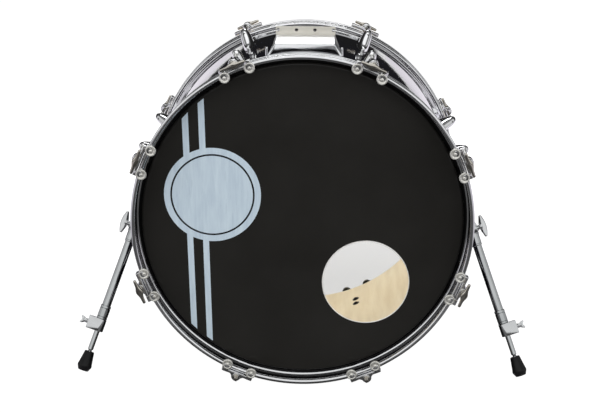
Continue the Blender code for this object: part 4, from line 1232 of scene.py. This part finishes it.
def spur_bracket_mesh(leg_frame):
    """The saddle on the shell, the boss on it and two screws, in the front side's frame."""
    to_side = side_matrix(1).inverted() @ leg_frame
    face = -HEAD_HALF - CLEARANCE
    boss = moved(boss_mesh(face), to_side)
    foot = to_side @ Vector((face - BOSS_LENGTH / 2, 0.0, 0.0))
    turn = Matrix.Rotation(-math.atan2(foot.x, foot.y), 4, "Z")
    around = Matrix.Translation((0.0, 0.0, foot.z)) @ turn
    half, length = BASE_ACROSS / 2, BASE_LENGTH / 2
    outline = []
    for across, along, start in ((1, 1, 0), (-1, 1, 90), (-1, -1, 180), (1, -1, 270)):
        centre = (across * (half - BASE_CORNER), along * (length - BASE_CORNER))
        outline += arc(centre, (BASE_CORNER, BASE_CORNER), start, start + 90, 6)
    base = rounded(plate([outline], -BASE_DEPTH, BASE_HEIGHT), BASE_EDGE)
    base = shifted(along_y(base), 0.0, SHELL_RADIUS)
    meshes = [seated(moved(base, around)), seated(boss)]
    screw_seat = SHELL_RADIUS + BASE_HEIGHT - 0.0002
    profile = [(0.0, 0.0021), (0.0018, 0.0020), (0.0034, 0.0013), (0.0042, 0.0), (0.0, -0.0005)]
    for along in (-1, 1):
        screw = along_y(lathe(profile, ROD_SEGMENTS))
        screw = shifted(screw, 0.0, screw_seat, along * (length - SPUR_SCREW_INSET))
        meshes.append(painted(moved(screw, around), 1))
    return gathered(*meshes)


def tread_depth():
    """How far down the leg its tread lies, for the tread's lower edge to rest on the floor."""
    leg = leg_matrix("right")
    upright = leg[2][2]
    return (leg.translation.z - FOOT_TREAD_RADIUS * math.sqrt(1.0 - upright ** 2)) / upright


def build_spurs():
    tread = tread_depth()
    bolt = pivot_bolt_mesh()
    tube = tube_mesh()
    clamp = clamp_mesh()
    clamp_screw = clamp_screw_mesh()
    rod = spur_rod_mesh(tread - FOOT_HEIGHT - NECK_SHOWN)
    foot = foot_mesh(tread)
    in_clamp = Matrix.Translation((0.0, 0.0, -CLAMP_TOP - CLAMP_LENGTH / 2))
    for label in ("right", "left"):
        leg = leg_matrix(label)
        rows = (
            ("bracket", "cast", spur_bracket_mesh(leg), ["cast", "screw"], side_matrix(1), "drum"),
            ("wing_bolt", "cast", bolt, ["cast"], leg, f"{label}_wing_bolt"),
            ("tube", "drawn", tube, ["tube"], leg, f"{label}_leg"),
            ("clamp", "cast", clamp, ["cast"], leg, f"{label}_leg"),
            ("clamp_screw", "cast", clamp_screw, ["cast"], leg @ in_clamp, f"{label}_clamp_screw"),
            ("rod", "turned", rod, ["tube"], leg, f"{label}_leg_rod"),
            ("foot", "moulded", foot, ["rubber"], leg, f"{label}_foot"),
        )
        for part, made, mesh, names, matrix, body in rows:
            node = f"{label}_spur_{part}"
            piece(f"{node}_{made}", mesh, names, matrix, [node], body,
                  own_frame=part != "foot")


# Studio

def build_camera():
    data = bpy.data.cameras.new("camera")
    data.sensor_width = SENSOR_WIDTH
    data.lens = SENSOR_WIDTH * FOCAL_LENGTH_PX / IMAGE_WIDTH
    camera = placed("camera", data)
    aim = (CAMERA_TARGET - CAMERA_PLACE).to_track_quat("-Z", "Y").to_matrix().to_4x4()
    camera.matrix_world = Matrix.Translation(CAMERA_PLACE) @ aim @ Matrix.Rotation(CAMERA_ROLL, 4, "Z")
    bpy.context.scene.camera = camera


def softbox(name, place, target, size, power, reflected=False):
    """A soft rectangular light that the camera doesn't see; pieces mirror it if it is reflected."""
    data = bpy.data.lights.new(name, "AREA")
    data.shape = "RECTANGLE"
    data.size, data.size_y = size
    data.energy = power
    light = placed(name, data)
    light.location = place
    light.rotation_mode = "QUATERNION"
    light.rotation_quaternion = (Vector(target) - Vector(place)).to_track_quat("-Z", "Y")
    light.visible_camera = False
    light.visible_glossy = reflected


def build_lights():
    middle = (0.0, 0.0, AXIS_HEIGHT)
    bracket = (0.0, 0.0, AXIS_HEIGHT + BRACKET_TOP)
    inside = (0.0, 0.16, AXIS_HEIGHT + 0.05)
    port_side = (0.05, -0.2, AXIS_HEIGHT - 0.15)
    for name, side in (("left_box", -1), ("right_box", 1)):
        softbox(name, (side * 2.4, -1.3, 1.3), middle, size=(1.8, 2.2), power=27.0)
    softbox("top_box", (0.0, -0.2, 3.0), middle, size=(3.0, 2.4), power=22.0, reflected=True)
    softbox("back_top_box", (0.0, 2.3, 2.0), bracket, size=(1.2, 0.45), power=9.0, reflected=True)
    softbox("back_box", (0.0, 1.9, 0.5), middle, size=(2.0, 0.9), power=24.0)
    softbox("inside_box", inside, port_side, size=(0.4, 0.3), power=1.2)


def build_floor():
    """White to the camera. In reflections it carries painted shadow, dark under the drum and half shaded
    in the middle before it; it is pale beside and behind it, and painted light glows beside the drum,
    far behind it and far to its sides."""
    work = bmesh.new()
    bmesh.ops.create_grid(work, x_segments=1, y_segments=1, size=FLOOR_REACH)
    floor = placed("floor", finished(work))
    floor.location.z = -FLOOR_DROP
    pale = surface("floor", (112, 112, 112), (118, 118, 118), (0.5, 0.6), tone_scale=2.0, bump=0.0)
    tree = pale.node_tree
    shader = tree.nodes["Principled BSDF"]
    tone = shader.inputs["Base Color"].links[0].from_socket
    x, along, _ = coordinates(tree, "Object")
    across = calculated("ABSOLUTE", x)
    seen = add(tree, "ShaderNodeLightPath").outputs["Is Camera Ray"]
    # Painted shadow: dark under the drum and half dark in the middle before it; painted light glows
    # beside, behind and to the sides.
    around = stepped(across, FLOOR_UNDER_STEP)
    centre = stepped(across, FLOOR_CENTRE_STEP, (FLOOR_CENTRE_SHARE, 0.0))
    beside = calculated("MULTIPLY", around, stepped(along, FLOOR_FRONT_STEP))
    before = calculated("MULTIPLY", centre, stepped(along, FLOOR_FRONT_STEP, (1.0, 0.0)))
    lit = largest(beside, before, stepped(along, FLOOR_BACK_STEP))
    near = stepped(along, FLOOR_FRONT_STEP, (0.0, FLOOR_GLOW))
    far = stepped(along, FLOOR_BACK_STEP, (0.0, FLOOR_FAR_GLOW))
    side = stepped(across, FLOOR_SIDE_STEP, (0.0, FLOOR_SIDE_GLOW))
    glow = largest(calculated("MULTIPLY", near, lit), far, side, seen)
    sheet_and_painted_shadow = calculated("MULTIPLY", stepped(along, FLOOR_SHEET_EDGE), lit)
    fill(shader, Base_Color=mixed(sheet_and_painted_shadow, FLOOR_DARK_AND_PAINTED_SHADOW, tone), Emission_Strength=glow,
         Emission_Color=mixed(seen, FLOOR_TINT, WHITE))
    floor.data.materials.append(pale)


def build_world():
    """White to the camera. To the object a white room in front, dark at its foot, a grey one at the
    sides and a dark one behind, over a low white cove."""
    world = bpy.data.worlds.new("studio")
    bpy.context.scene.world = world
    world.use_nodes = True
    tree = world.node_tree
    tree.nodes.clear()
    _, along, up = coordinates(tree, "Generated")
    level = graded(up, FRONT_ROOM)
    for stops, span in ((SIDE_ROOM, SIDE_ROOM_SPAN), (BACK_ROOM, BACK_ROOM_SPAN)):
        level = mixed(stepped(along, span), level, graded(up, stops))
    seen = add(tree, "ShaderNodeLightPath").outputs["Is Camera Ray"]
    mix = add(tree, "ShaderNodeMixShader", Fac=seen)
    for socket, colour in zip(mix.inputs[1:], (level, WHITE)):
        feed(socket, add(tree, "ShaderNodeBackground", Color=colour).outputs["Background"])
    add(tree, "ShaderNodeOutputWorld", Surface=mix.outputs["Shader"])


make_materials()
build_drum()
build_hoops()
build_rods()
build_lugs()
build_bracket()
build_spurs()
build_floor()
build_world()
build_lights()
build_camera()
bpy.context.scene.view_settings.view_transform = "Standard"
